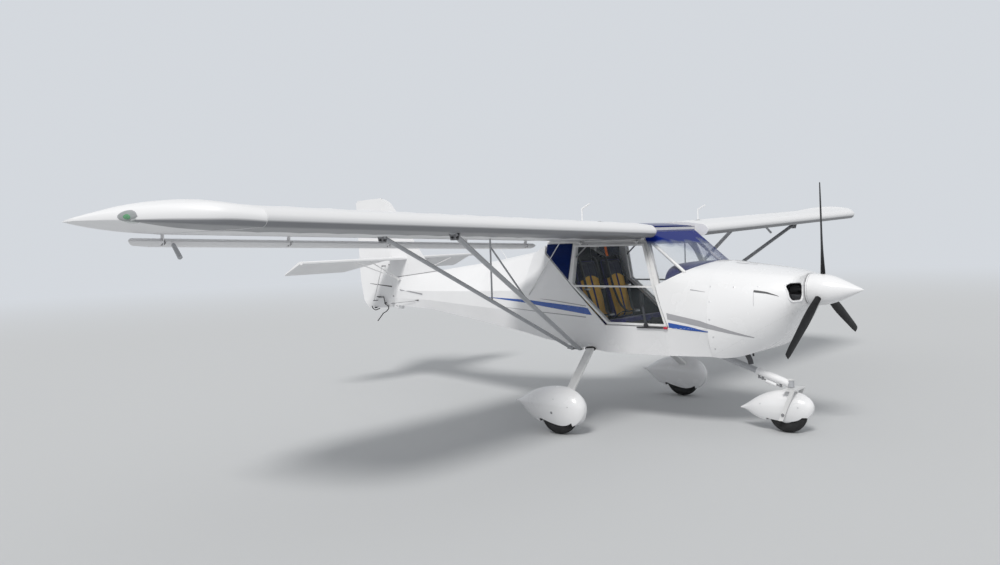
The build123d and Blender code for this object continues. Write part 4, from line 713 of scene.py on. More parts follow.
def circle_through(a, b, c):
    """Centre and radius of the circle through three points."""
    (ax, ay), (bx, by), (cx, cy) = a, b, c
    d = 2 * (ax * (by - cy) + bx * (cy - ay) + cx * (ay - by))
    squares = [x * x + y * y for x, y in (a, b, c)]
    x = (squares[0] * (by - cy) + squares[1] * (cy - ay) + squares[2] * (ay - by)) / d
    y = (squares[0] * (cx - bx) + squares[1] * (ax - cx) + squares[2] * (bx - ax)) / d
    return Vector((x, y)), math.dist((x, y), a)


def screen_foot():
    """Points of the windscreen's foot from the centre line to its rear corner, on the left side."""
    centre, radius = circle_through(*SCREEN_CURVE)
    angles = [math.atan2(ahead - centre.y, y - centre.x) for y, ahead in (SCREEN_CURVE[2], SCREEN_CURVE[0])]
    way = Vector((SCREEN_CREST[0] - SCREEN_FOOT[0], SCREEN_CREST[1] - SCREEN_FOOT[1])).normalized()
    foot = []
    for run in range(SCREEN_RUNS + 1):
        angle = angles[0] + (angles[1] - angles[0]) * run / SCREEN_RUNS
        y = centre.x + radius * math.cos(angle)
        ahead = centre.y + radius * math.sin(angle)
        foot.append(at(SCREEN_FOOT[0] + way.x * ahead, y, SCREEN_FOOT[1] + way.y * ahead))
    return foot


def make_windscreen():
    """The windscreen, with its blue sun band at the top."""
    apex = at(*SCREEN_APEX)
    half = []
    for low in screen_foot():
        reach = (low.x - (AXLE_X + SCREEN_TOP)) / (low.x - apex.x)
        half.append([low.lerp(apex, reach * row / SCREEN_ROWS) for row in range(SCREEN_ROWS + 1)])
    columns = [[Vector((p.x, -p.y, p.z)) for p in column] for column in reversed(half)]
    columns += [[Vector((p.x, 0, p.z)) for p in half[0]]] + half
    points = [p for column in columns for p in column]
    faces = grid_faces(len(columns), SCREEN_ROWS + 1)
    sheet = piece("windscreen_sheet", points, faces, SCREEN_GLASS, "airframe", "clear_glazing")
    changed(sheet, "SOLIDIFY", thickness=0.004)
    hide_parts("windscreen")


# Skylight: stations of its ends, half width, rise of its crown and lift from its sheet

SKYLIGHT_RUN = (-0.318, 0.448)
SKYLIGHT_HALF = 0.408
SKYLIGHT_CROWN = 0.027
SKYLIGHT_LIFT = 0.002
SKYLIGHT_GRID = (36, 25)


def make_skylight():
    """The skylight's moulded crown, a shallow dome over its sheet."""
    sheet = tree_of("skylight")
    rows, columns = SKYLIGHT_GRID
    points = []
    for row in range(rows):
        share = row / (rows - 1)
        station = SKYLIGHT_RUN[0] + (SKYLIGHT_RUN[1] - SKYLIGHT_RUN[0]) * share
        for column in range(columns):
            out = column / (columns - 1) * 2 - 1
            start = at(station, out * SKYLIGHT_HALF, 2.0)
            spot, normal, face, distance = sheet.ray_cast(start, Vector((0, 0, -1)))
            crown = (1 - abs(out) ** 5) * (1 - abs(2 * share - 1) ** 3)
            points.append(spot + Vector((0, 0, SKYLIGHT_LIFT + SKYLIGHT_CROWN * crown)))
    faces = grid_faces(rows, columns)
    dome = piece("skylight_crown", points, faces, SKYLIGHT_GLASS, "airframe", "clear_glazing", sharp=60)
    changed(dome, "SOLIDIFY", thickness=0.002, offset=-1)


# Spinner: a smooth pointed shell on its back plate

SPINNER_PROFILE = ((0.0, 0.0345), (0.0, 0.1185), (0.002, 0.121), (0.04, 0.1212), (0.075, 0.1205),
                   (0.11, 0.117), (0.15, 0.1085), (0.19, 0.0965), (0.23, 0.0805), (0.27, 0.0625),
                   (0.305, 0.0455), (0.335, 0.0305), (0.36, 0.0185), (0.378, 0.010), (0.388, 0.0040),
                   (0.390, 0.0004))
SPINNER_BASE = 1.668
THRUST_Z = 1.118


def make_spinner():
    """The spinner's smooth shell, and the fine joint between it and its back plate."""
    shell = spun("spinner_shell", SPINNER_PROFILE, at(SPINNER_BASE, 0, THRUST_Z), (1, 0, 0),
                 FINISH["white_moulding"], "propeller", "white_moulding", 96)
    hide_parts("spinner")
    spun("spinner_joint", ((0.0, 0.1205), (0.0, 0.1219), (0.0016, 0.1219), (0.0016, 0.1205)),
         at(SPINNER_BASE + 0.012, 0, THRUST_Z), (1, 0, 0), SEAM_GREY, "propeller", "white_moulding", 96)


# Painted bands on the sides: name, CAD nodes, colour, lift, and upper and lower line of stations and heights

COWL = ("boot_cowl", "upper_cowling", "lower_cowling", "lower_body")
BANDS = (
    ("rear_blue", ("rear_fuselage",), BAND_BLUE, 0.0012,
     ((-1.354, 1.026), (-0.741, 1.017), (-0.40, 0.996), (-0.084, 0.973), (-0.051, 0.966)),
     ((-1.354, 1.024), (-0.741, 0.986), (-0.40, 0.951), (-0.06, 0.915), (-0.007, 0.912))),
    ("rear_fine_top", ("rear_fuselage",), BAND_GREY, 0.0012,
     ((-0.60, 1.034), (-0.47, 1.028), (-0.072, 0.990)), ((-0.60, 1.032), (-0.47, 1.021), (-0.072, 0.982))),
    ("rear_fine_low", ("rear_fuselage",), BAND_GREY, 0.0012,
     ((-1.10, 0.940), (-0.60, 0.920), (-0.07, 0.896)), ((-1.10, 0.937), (-0.60, 0.913), (-0.07, 0.887))),
    ("cowl_grey", COWL, BAND_GREY, 0.0012, ((0.712, 0.951), (0.996, 0.898), (1.203, 0.832), (1.372, 0.776)),
     ((0.722, 0.901), (0.988, 0.854), (1.198, 0.806), (1.369, 0.770))),
    ("cowl_blue", COWL, BAND_BLUE, 0.0026, ((0.728, 0.876), (0.905, 0.850), (1.057, 0.816)),
     ((0.731, 0.838), (0.901, 0.821), (1.053, 0.811))),
)


def make_bands():
    """Blue and grey bands along both sides of the body and the cowl."""
    for side, sign in SIDES:
        for name, nodes, colour, lift, upper, lower in BANDS:
            laid_on_side(f"{name}_{side}", tree_of(*nodes), upper, lower, sign, colour, lift)


# Cabin: glare shield, tubes, lining, panel and sticks

# The hood's rows: station, half width, top and foot
HOOD_ROWS = ((0.652, 0.418, 1.318, 1.125), (0.660, 0.428, 1.330, 1.125), (0.74, 0.405, 1.340, 1.17),
             (0.83, 0.335, 1.338, 1.24), (0.90, 0.20, 1.334, 1.30))
HOOD_COLUMNS = 25


def make_glare_shield():
    """A dark-blue padded hood over the instruments, from the panel to the windscreen's foot."""
    points = []
    for station, shoulder, top, foot in HOOD_ROWS:
        for step in range(HOOD_COLUMNS):
            angle = math.pi * step / (HOOD_COLUMNS - 1)
            c, s = math.cos(angle), math.sin(angle)
            y = math.copysign(abs(c) ** 0.62, c) * shoulder
            points.append(at(station, y, foot + (top - foot) * s ** 0.55))
    faces = grid_faces(len(HOOD_ROWS), HOOD_COLUMNS)
    hood = piece("glare_shield", points, faces, HOOD_BLUE, "airframe", "panel_black", sharp=60)
    changed(hood, "SOLIDIFY", thickness=0.012, offset=-1)


def make_cabin_tubes():
    """White tubes behind the windscreen, grey ones over the seats and behind the doors."""
    for side, sign in SIDES:
        inside = on_side(((0.452, 0.372, 1.560), (0.815, 0.375, 1.262)), sign)
        tube(f"screen_tube_{side}", inside, 0.0135, *TUBING)
        diagonal = on_side(((-0.535, 0.36, 1.52), (-0.235, 0.0, 1.538)), sign)
        tube(f"cabin_diagonal_{side}", diagonal, 0.008, FINISH["bay_sheet"], "airframe", "white_tube")
        stay = on_side(((-0.10, 0.396, 1.500), (-0.335, 0.408, 1.300)), sign)
        tube(f"door_stay_{side}", stay, 0.0065, *METAL)


# Sections of the body for the lining: station, then heights and half widths from floor to roof
BODY_ROWS = (
    (0.131, ((0.603, 0.470), (0.835, 0.512), (1.155, 0.492), (1.536, 0.402))),
    (-0.560, ((0.676, 0.425), (0.890, 0.446), (1.120, 0.446), (1.500, 0.398))),
    (-0.850, ((0.717, 0.365), (0.905, 0.396), (1.100, 0.392), (1.430, 0.200))),
)
LINING_GAP = 0.019
LINING_LEVELS = [0.70 + 0.05 * k for k in range(16)]
LINING_FRONT = 0.122
LINING_REAR = -0.603
POST_FOOT_Z = 0.84
POST_LEAN = 1.16
CURTAIN_STATION = -0.604
CURTAIN_GAP = 0.02
CURTAIN_LEVELS = [1.28 + 0.02 * k for k in range(12)]


def body_half(station, z):
    """Half width of the body at a station and a height."""
    widths = []
    for place, levels in BODY_ROWS:
        wide = levels[0][1]
        for (za, ya), (zb, yb) in zip(levels, levels[1:]):
            if z >= za:
                wide = ya + (yb - ya) * min((z - za) / (zb - za), 1)
        widths.append((place, wide))
    for (xa, ya), (xb, yb) in zip(widths, widths[1:]):
        if station >= xb:
            return ya + (yb - ya) * (xa - station) / (xa - xb)
    return widths[-1][1]


def make_lining():
    """Dark lining of the sides behind the doors and of the bulkhead behind the seats."""
    for side, sign in SIDES:
        points = []
        for z in LINING_LEVELS:
            front = LINING_FRONT - max(z - POST_FOOT_Z, 0) * POST_LEAN
            for step in range(9):
                station = front + (LINING_REAR - front) * step / 8
                points.append(at(station, sign * (body_half(station, z) - LINING_GAP), z))
        faces = grid_faces(len(LINING_LEVELS), 9)
        piece(f"side_lining_{side}", points, faces, LINING, "airframe", "bay_sheet")
    points = []
    for z in CURTAIN_LEVELS:
        reach = body_half(CURTAIN_STATION, z) - CURTAIN_GAP
        points += [at(CURTAIN_STATION, reach * (part / 4 - 1), z) for part in range(9)]
    piece("rear_curtain", points, grid_faces(len(CURTAIN_LEVELS), 9), LINING, "airframe", "bay_sheet")


# Dials: width, height and radius; marks on them: share of the radius and offset across it
DIALS = ((-0.30, 1.150, 0.040), (-0.20, 1.150, 0.040), (-0.10, 1.155, 0.040), (-0.30, 1.062, 0.030),
         (-0.215, 1.060, 0.030), (0.16, 1.150, 0.030), (0.235, 1.150, 0.030), (0.31, 1.145, 0.030),
         (0.16, 1.070, 0.026), (0.225, 1.070, 0.026))
TICK = ((0.60, -0.0009), (0.60, 0.0009), (0.74, 0.0009), (0.74, -0.0009))
NEEDLE = ((-0.15, -0.0014), (-0.15, 0.0014), (0.62, 0.0004), (0.62, -0.0004))
PANEL_STATION = 0.7515
DIAL_SIDES = 28


def dial_mark(centre, radius, angle, corners, lift):
    """Corners of one flat mark on a dial, turned by an angle."""
    out = Vector((0, math.cos(angle), math.sin(angle)))
    aside = Vector((0, -math.sin(angle), math.cos(angle)))
    return [centre + Vector((-lift, 0, 0)) + out * radius * reach + aside * width for reach, width in corners]


def make_panel():
    """Round dials, a radio and switches on the instrument panel."""
    for number, (y, z, radius) in enumerate(DIALS):
        centre = at(PANEL_STATION, y, z)
        inner = radius - 0.006
        rim = [(0.0, radius), (0.006, radius), (0.007, inner + 0.003), (0.003, inner + 0.001), (0.002, inner)]
        spun(f"dial_rim_{number}", rim, centre, (-1, 0, 0), *BLACK, DIAL_SIDES)
        disc = ((0.0, inner), (0.0028, inner))
        spun(f"dial_face_{number}", disc, centre, (-1, 0, 0), DIAL_FACE, *BLACK[1:], DIAL_SIDES)
        points = []
        for tick in range(12):
            points += dial_mark(centre, radius, math.tau * tick / 12, TICK, 0.0034)
        points += dial_mark(centre, radius, 0.8 + number * 0.7, NEEDLE, 0.0040)
        faces = [tuple(range(first, first + 4)) for first in range(0, len(points), 4)]
        piece(f"dial_marks_{number}", points, faces, DIAL_WHITE, "airframe", "panel_black", smooth=False)
    for level, height in ((1.168, 0.034), (1.126, 0.034), (1.075, 0.050)):
        low, high = at(0.7425, -0.045, level - height / 2), at(0.7518, 0.115, level + height / 2)
        box_piece(f"radio_{int(level * 1000)}", low, high, *BLACK)
    for place in range(8):
        switch = at_width(((0.7518, 1.034), (0.738, 1.040)), -0.03 + place * 0.019)
        tube(f"switch_{place}", switch, [0.003, 0.0022], *RIM, 8)


STICK_LINE = ((0.350, 0.628), (0.345, 0.74), (0.318, 0.93), (0.305, 1.00))
GRIP_LINE = ((0.309, 0.965), (0.306, 0.985), (0.300, 1.03), (0.296, 1.075), (0.294, 1.085))
PEDAL_LINE = ((0.90, 0.625), (0.885, 0.74), (0.905, 0.80))


def make_sticks():
    """Control sticks before the seats and the pedals on the floor."""
    for side, sign in SIDES:
        y = sign * 0.205
        sizes = [0.013, 0.011, 0.011, 0.011]
        tube(f"stick_{side}", at_width(STICK_LINE, y), sizes, FINISH["bay_sheet"], "airframe", "white_tube")
        tube(f"grip_{side}", at_width(GRIP_LINE, y), [0.013, 0.018, 0.0165, 0.018, 0.010], *BLACK, 14)
        for foot in (-1, 1):
            mid = y + foot * 0.085
            tube(f"pedal_arm_{side}_{foot + 1}", at_width(PEDAL_LINE, mid), 0.008, *TUBING)
            pedal = [at(0.905, mid + reach, 0.80) for reach in (-0.045, 0.045)]
            tube(f"pedal_{side}_{foot + 1}", pedal, 0.011, *BLACK)


# Seats: padded base and back over a moulded shell, with a harness

# Cushions: middle as station and height, half length and half thickness, and direction along
BASE = ((0.060, 0.820), (0.172, 0.036), (0.990, 0.141))
BACK = ((-0.222, 1.092), (0.272, 0.029), (-0.262, 0.965))
PAD_HALF = 0.156
PAD_VOXEL = 0.006
PAD_CAP = 0.010
PAD_REST = 0.9
PAD_PULL = (0.030, 0.020)
SWELL_FRAMES = 20
SWELL_PRESSURE = 4
STRIPE_EDGES = (0.0, 0.094)
STRIPE_WIDTH = 0.0055
STRIPE_DEPTH = 0.0065


def pad_axes(way):
    """A cushion's directions along it and through its thickness."""
    along = Vector((way[0], 0, way[1]))
    up = Vector((0, 1, 0)).cross(along)
    return along, up if up.z > 0 or up.x > 0 else -up


def rounded_pad(name, middle, half, way, radius, material):
    """A closed cushion with round edges and its sides pulled in, and its direction through the thickness."""
    shape = bmesh.new()
    bmesh.ops.create_cube(shape, size=2.0)
    bmesh.ops.subdivide_edges(shape, edges=shape.edges, cuts=15, use_grid_fill=True)
    size = Vector((PAD_HALF, half[0], half[1]))
    inner = size - Vector((radius, radius, radius))
    along, up = pad_axes(way)
    centre = at(middle[0], SEAT_MIDDLE, middle[1])
    for vertex in shape.verts:
        spot = Vector([vertex.co[k] * size[k] for k in range(3)])
        core = Vector([max(-inner[k], min(inner[k], spot[k])) for k in range(3)])
        out = spot - core
        spot = core + out.normalized() * radius if out.length > 1e-9 else spot
        wide_share, long_share = spot.x / size.x, spot.y / size.y
        spot.x *= 1 - PAD_PULL[0] * (1 - long_share ** 2)
        spot.y *= 1 - PAD_PULL[1] * (1 - wide_share ** 2)
        if spot.z > 0:
            spot.z *= 0.80 + 0.24 * (1 - wide_share ** 4) * (1 - long_share ** 6)
        vertex.co = centre + Vector((0, spot.x, 0)) + along * spot.y + up * spot.z
    mesh = bpy.data.meshes.new(name)
    shape.to_mesh(mesh)
    shape.free()
    made = bpy.data.objects.new(name, mesh)
    bpy.context.scene.collection.objects.link(made)
    mesh.materials.append(material)
    return made, up


def applied(made):
    """Replace a piece's mesh with what its modifiers make of it."""
    graph = bpy.context.evaluated_depsgraph_get()
    graph.update()
    mesh = bpy.data.meshes.new_from_object(made.evaluated_get(graph))
    made.modifiers.clear()
    made.data = mesh


def plumped(made, up):
    """Swell a cushion with cloth under slight pressure, within a cap and least on the side away from up."""
    changed(made, "REMESH", mode="VOXEL", voxel_size=PAD_VOXEL)
    applied(made)
    before = [(vertex.co.copy(), vertex.normal.copy()) for vertex in made.data.vertices]
    settings = changed(made, "CLOTH").settings
    settings.use_pressure = True
    settings.uniform_pressure_force = SWELL_PRESSURE
    settings.effector_weights.gravity = 0
    for number in range(1, SWELL_FRAMES + 1):
        bpy.context.scene.frame_set(number)
    applied(made)
    bpy.context.scene.frame_set(1)
    for vertex, (start, normal) in zip(made.data.vertices, before):
        move = vertex.co - start
        if move.length > PAD_CAP:
            move = move.normalized() * PAD_CAP
        resting = max(0.0, -normal.dot(up))
        vertex.co = start + move * (1 - PAD_REST * resting)
    for vertex in made.data.vertices:
        away = abs(vertex.co.y - SEAT_MIDDLE)
        facing = max(0.0, vertex.normal.dot(up))
        depth = max(math.exp(-((away - edge) / STRIPE_WIDTH) ** 2) for edge in STRIPE_EDGES)
        vertex.co -= up * depth * STRIPE_DEPTH * facing ** 2
    finer(made)
    applied(made)


def mirrored(made, name):
    """A copy of a cushion for the other seat."""
    mesh = made.data.copy()
    mesh.name = name
    for vertex in mesh.vertices:
        vertex.co.y = -vertex.co.y
    mesh.flip_normals()
    other = bpy.data.objects.new(name, mesh)
    bpy.context.scene.collection.objects.link(other)
    return other


def ribbon(name, path, width, wide_way, material, thickness=0.0022):
    """A flat strap through points, as wide as width along wide_way."""
    fine = []
    last = len(path) - 1
    for k in range(last):
        around = [Vector(path[max(0, min(last, j))]) for j in (k - 1, k, k + 1, k + 2)]
        fine += [smooth_between(*around, step / 6) for step in range(6)]
    fine.append(Vector(path[-1]))
    points = [spot + Vector(wide_way) * width * (part / 4 - 0.5) for spot in fine for part in range(5)]
    made = piece(name, points, grid_faces(len(fine), 5), material, "airframe", "seat_cloth", sharp=80)
    changed(made, "SOLIDIFY", thickness=thickness, offset=0)


# The shell's line from its front edge to its top; rows up to the bend are the seat, the others the back
SHELL_LINE = ((0.246, 0.846), (0.236, 0.805), (0.15, 0.780), (0.0, 0.760), (-0.13, 0.745), (-0.186, 0.752),
              (-0.212, 0.790), (-0.262, 1.00), (-0.306, 1.20), (-0.332, 1.335), (-0.330, 1.372),
              (-0.312, 1.380))
SHELL_BEND = 5
SHELL_LIP = 0.020
SEAT_TUBES = (
    ("rail", ((-0.165, 0.6285), (0.205, 0.6285)), 0.010),
    ("front_leg", ((0.190, 0.630), (0.205, 0.785)), 0.011),
    ("rear_leg", ((-0.150, 0.630), (-0.150, 0.748)), 0.011),
)


def make_shell(side, sign):
    """The seat's moulded shell of one dished sheet, and the tubes it stands on."""
    points = []
    for row, (station, z) in enumerate(SHELL_LINE):
        wide = 0.163 if 0 < row < len(SHELL_LINE) - 1 else 0.150
        for part in range(13):
            share = part / 6 - 1
            lip = SHELL_LIP * abs(share) ** 7
            forward, rise = (lip * 0.8, 0.0) if row > SHELL_BEND else (0.0, lip)
            points.append(at(station + forward, sign * (SEAT_MIDDLE + share * wide), z + rise))
    shell = piece(f"seat_shell_{side}", points, grid_faces(len(SHELL_LINE), 13), *BLACK)
    changed(shell, "SOLIDIFY", thickness=0.006, offset=0)
    finer(shell)
    for place, part in enumerate((-1, 1)):
        for kind, line, radius in SEAT_TUBES:
            spots = at_width(line, sign * (SEAT_MIDDLE + part * 0.125))
            tube(f"seat_{kind}_{side}_{place}", spots, radius, *BAY)
    return shell


# Straps: station, distance from the seat's middle and height
SHOULDER_LINE = ((-0.352, 0.120, 1.300), (-0.345, 0.120, 1.372), (-0.300, 0.120, 1.398),
                 (-0.250, 0.120, 1.372), (-0.214, 0.120, 1.260), (-0.168, 0.120, 1.105),
                 (-0.126, 0.090, 0.965), (-0.085, 0.060, 0.902), (-0.030, 0.060, 0.889))
LAP_LINE = ((-0.155, 0.172, 0.760), (-0.130, 0.170, 0.830), (-0.085, 0.142, 0.884), (-0.045, 0.070, 0.890),
            (-0.010, 0.012, 0.892))
BUCKLE = ((0.0, 0.030), (0.006, 0.030), (0.012, 0.027), (0.016, 0.020), (0.018, 0.008))


def make_harness(side, sign):
    """Black shoulder and lap straps that meet in a buckle."""
    for place, part in enumerate((-1, 1)):
        for name, line, width, wide_way in (("shoulder_strap", SHOULDER_LINE, 0.036, (0, 1, 0)),
                                            ("lap_strap", LAP_LINE, 0.044, (0.80, 0, 0.35))):
            path = [at(station, sign * (SEAT_MIDDLE + part * y), z) for station, y, z in line]
            ribbon(f"{name}_{side}_{place}", path, width, wide_way, WEBBING)
        y = sign * (SEAT_MIDDLE + part * 0.120)
        low, high = at(-0.190, y - 0.022, 1.108), at(-0.150, y + 0.022, 1.122)
        box_piece(f"strap_slider_{side}_{place}", low, high, *RIM, 0.002)
    spun(f"buckle_{side}", BUCKLE, at(-0.008, sign * SEAT_MIDDLE, 0.886), (0, 0, 1), *RIM, 32)


def piping(name, middle, half, way, sign, lift):
    """A thin welt sewn round a cushion."""
    along, up = pad_axes(way)
    points = []
    wide, length = PAD_HALF - 0.004, half[0] - 0.003
    for u, v in rounded_outline(wide, length, 0.030, 64):
        u *= 1 - PAD_PULL[0] * (1 - (v / length) ** 2)
        v *= 1 - PAD_PULL[1] * (1 - (u / wide) ** 2)
        points.append(at(middle[0], sign * (SEAT_MIDDLE + u), middle[1]) + along * v + up * lift)
    tube(name, points + points[:1], 0.0032, SEAT_BLUE, "airframe", "seat_cloth", 8)


def make_seats():
    """Both seats: one base and one back are swollen by cloth and mirrored to the other side."""
    base, base_up = rounded_pad("seat_base_left", *BASE, 0.030, SEAT_BLUE)
    back, back_up = rounded_pad("seat_back_left", *BACK, 0.024, SEAT_CLOTH)
    for made, up in ((base, base_up), (back, back_up)):
        plumped(made, up)
    pads = {"left": (base, back)}
    pads["right"] = (mirrored(base, "seat_base_right"), mirrored(back, "seat_back_right"))
    for side, sign in SIDES:
        shell = make_shell(side, sign)
        for made in pads[side]:
            for face in made.data.polygons:
                face.use_smooth = True
            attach(made, "airframe")
            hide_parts(f"seat_{side}")
        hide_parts(f"seat_{side}")
        make_harness(side, sign)
        piping(f"base_welt_{side}", *BASE, sign, 0.012)
        piping(f"back_welt_{side}", *BACK, sign, 0.008)


# Small parts laid on the cowl: slots, seams, screws and inlet lips

STRIP_STEPS = 20


def snapped_strip(name, tree, first, second, sign, material, body="airframe", lift=0.0011):
    """A thin strip between two lines of the left side, turned to a side and laid on the nearest surface."""
    points = []
    ends = [spread_along(on_side(line, sign), STRIP_STEPS) for line in (first, second)]
    for a, b in zip(*ends):
        for part in range(3):
            spot = a.lerp(b, part / 2)
            near, normal, face, distance = tree.find_nearest(spot)
            out = spot - near
            out = normal if out.length < 1e-5 or normal.dot(out) > 0 else -normal
            points.append(near + out * lift)
    piece(name, points, grid_faces(STRIP_STEPS + 1, 3), material, body, "white_covering")


COWL_SLOTS = (
    ("side_scoop", ((1.390, 0.40, 1.143), (1.480, 0.385, 1.129), (1.570, 0.36, 1.091)),
     ((1.390, 0.40, 1.122), (1.480, 0.385, 1.112), (1.570, 0.36, 1.088)), DARK_SEAM_AND_PAINTED_SHADOW),
    ("side_slot", ((0.900, 0.47, 1.144), (1.024, 0.46, 1.123)), ((0.900, 0.47, 1.135), (1.024, 0.46, 1.120)),
     SEAM_GREY),
    ("top_slot", ((1.120, 0.112, 1.33), (1.286, 0.078, 1.33)), ((1.120, 0.100, 1.33), (1.286, 0.074, 1.33)),
     SEAM_GREY),
    ("hatch_line", ((1.387, 0.40, 1.133), (1.396, 0.42, 1.016)),
     ((1.3895, 0.40, 1.133), (1.3985, 0.42, 1.016)), SEAM_GREY),
)
SCREWS = ((1.061, 0.45, 1.17), (1.240, 0.42, 1.166), (1.418, 0.38, 1.166), (1.266, 0.28, 1.216),
          (1.070, 0.48, 1.05), (1.089, 0.46, 0.773), (1.087, 0.43, 0.677), (0.996, 0.18, 1.32),
          (1.075, 0.50, 0.91))


def screw(name, tree, spot, radius, material, body, slot):
    """A domed screw head with its washer, set square on the nearest surface."""
    near, normal, face, distance = tree.find_nearest(spot)
    out = normal if normal.dot(spot - near) > 0 else -normal
    head = ((-0.001, 1.25), (0.0008, 1.25), (0.001, 1), (0.0022, 0.8), (0.0028, 0.3))
    spun(name, [(along, radius * share) for along, share in head], near, out, material, body, slot, 18)


INLET_MIDDLE = (0.231, 1.110)
INLET_HALF = (0.087, 0.069)
INLET_ROUND = 0.044
INLET_REAR = 1.50
LIP_RADIUS = 0.0065


def make_inlet_lip(side, sign, tree):
    """A rolled lip round the cooling inlet."""
    points = []
    for y, z in rounded_outline(*INLET_HALF, INLET_ROUND, 56):
        start = at(2.3, sign * (INLET_MIDDLE[0] + y), INLET_MIDDLE[1] + z)
        near = tree.ray_cast(start, Vector((-1, 0, 0)))[0]
        if near is None or near.x < AXLE_X + INLET_REAR:
            beside = at(1.62, sign * (INLET_MIDDLE[0] + y * 1.05), INLET_MIDDLE[1] + z * 1.05)
            near = tree.find_nearest(beside)[0]
        points.append(near)
    tube(f"inlet_lip_{side}", points + points[:1], LIP_RADIUS, *MOULDING, 10)


EXHAUST_LINE = ((1.150, 0.66), (1.195, 0.600), (1.215, 0.560), (1.222, 0.530))


def make_cowl_marks():
    """Slots, seams, screws and inlet lips of the cowl, its exhaust and its breather."""
    tree = tree_of(*COWL)
    for side, sign in SIDES:
        for name, first, second, colour in COWL_SLOTS:
            snapped_strip(f"{name}_{side}", tree, first, second, sign, colour)
        for number, (station, y, z) in enumerate(SCREWS):
            screw(f"cowl_screw_{side}_{number}", tree, at(station, sign * y, z), 0.0052, *RIM)
        make_inlet_lip(side, sign, tree)
    tube("exhaust", at_width(EXHAUST_LINE, -0.10), 0.021, DARK_SEAM_AND_PAINTED_SHADOW, "airframe", "engine_metal", 20)
    bore = at_width(((1.2218, 0.531), (1.2223, 0.5288)), -0.10)
    tube("exhaust_bore", bore, 0.018, DARK_SEAM_AND_PAINTED_SHADOW, "airframe", "engine_metal", 20)
    tube("breather", at_width(((1.135, 0.66), (1.15, 0.60), (1.155, 0.565)), 0.09), 0.008, *BLACK)


# Wing, strut and flaperon fittings

STRUT_HEADS = (0.456, -0.218)
STRUT_FEET = (-0.160, -0.240)
STRUT_HEAD_Y = 2.603
HINGE_WIDTHS = (4.013, 3.150, 2.300, 1.480, 0.740)
HINGE_STATION = -0.504
HINGE_DROP = 0.054
BALANCE_INWARD = 0.592
BALANCE_RUN = ((-0.482, 0.048), (-0.398, 0.140))
FORK = ((-0.034, 0.002), (0.034, 0.002), (0.020, -0.046), (-0.020, -0.046))
FUEL_CAP = ((-0.004, 0.042), (0.0012, 0.042), (0.002, 0.038), (0.0022, 0.036), (0.0040, 0.034),
            (0.0044, 0.010))


def make_wing_fittings(side, sign):
    """Strut forks and bolts, the balance arm's sleeve, flaperon hinge bolts, fuel cap and a control rod."""
    z = wing_bottom(STRUT_HEAD_Y)
    for place, (station, foot) in enumerate(zip(STRUT_HEADS, STRUT_FEET)):
        for part in (-1, 1):
            y = sign * STRUT_HEAD_Y + part * 0.015
            corners = [at(station + x, y, z + rise) for x, rise in FORK]
            slab(f"strut_fork_{side}_{place}_{part + 1}", corners, (0, 1, 0), 0.004, *METAL, 0.001)
        bolt = [at(station, sign * STRUT_HEAD_Y + reach, z - 0.028) for reach in (-0.024, 0.028)]
        tube(f"strut_bolt_{side}_{place}", bolt, 0.0075, *BLACK, 6)
        bolt = [at(foot + reach, sign * 0.490, 0.618) for reach in (-0.034, 0.034)]
        tube(f"strut_foot_bolt_{side}_{place}", bolt, 0.008, *METAL, 6)
    y = HALF_SPAN - BALANCE_INWARD
    low, high = [at(station, sign * y, wing_bottom(y) - drop) for station, drop in BALANCE_RUN]
    sleeve = [low.lerp(high, share) for share in (0.12, 0.2, 1.0, 1.05)]
    sizes = [0.008, 0.0125, 0.0145, 0.008]
    tube(f"balance_sleeve_{side}", sleeve, sizes, STRUT_GREY, f"{side}_flaperon", "white_covering")
    for number, y in enumerate(HINGE_WIDTHS):
        z = wing_bottom(y) - HINGE_DROP
        pivot = [at(HINGE_STATION, sign * (y + reach), z) for reach in (-0.0115, 0.0115)]
        tube(f"flaperon_pivot_{side}_{number}", pivot, 0.0115, *BLACK, 6)
    above = at(0.30, sign * 0.80, 2.2)
    top, normal, face, distance = tree_of(f"wing_{side}").ray_cast(above, Vector((0, 0, -1)))
    spun(f"fuel_cap_{side}", FUEL_CAP, top, normal, *RIM, 40)
    low, high = top + Vector((-0.020, -0.004, 0.003)), top + Vector((0.020, 0.004, 0.0065))
    box_piece(f"fuel_cap_grip_{side}", low, high, *BLACK, 0.002)
    rod = on_side(((-0.331, 0.462, 1.548), (-0.750, 0.418, 1.062)), sign)
    tube(f"control_rod_{side}", rod, 0.0045, *TUBING, 10)


# Tail: hook, rod, horn, strips and a painted shadow of the brace on the rudder, cables, skid and aerial

HOOK_RUN = ((-3.268, 0.973), (-3.156, 0.971), (-3.142, 0.925), (-3.130, 0.891), (-3.082, 0.872),
            (-3.082, 0.843), (-3.120, 0.812), (-3.173, 0.790), (-3.225, 0.742), (-3.270, 0.701))
LOOP_RUN = ((-3.359, 0.866), (-3.345, 0.838), (-3.299, 0.822), (-3.230, 0.842))
RUDDER_SIDE = -0.030
HORN = ((-2.992, -0.078, 0.903), (-2.992, 0.078, 0.903), (-3.030, 0.030, 0.903), (-3.030, -0.030, 0.903))
FAIRING_LINES = (((-2.425, 0.16, 1.030), (-2.86, 0.09, 1.070)), ((-2.425, 0.16, 1.016), (-2.86, 0.09, 1.060)))
# Upper and lower lines of a dark strip on the rudder: painted shadow of the stabiliser brace
BRACE_SHADOW_LINES = (((-3.030, 0.04, 1.096), (-3.400, 0.04, 1.121)), ((-3.030, 0.04, 1.082), (-3.400, 0.04, 1.117)))
EXIT_LINES = (((-2.500, 0.16, 0.956), (-2.565, 0.14, 0.950)), ((-2.500, 0.16, 0.941), (-2.565, 0.14, 0.946)))
AERIAL_LINE = ((-1.350, 1.372), (-1.366, 1.400), (-1.420, 1.462), (-1.470, 1.510))


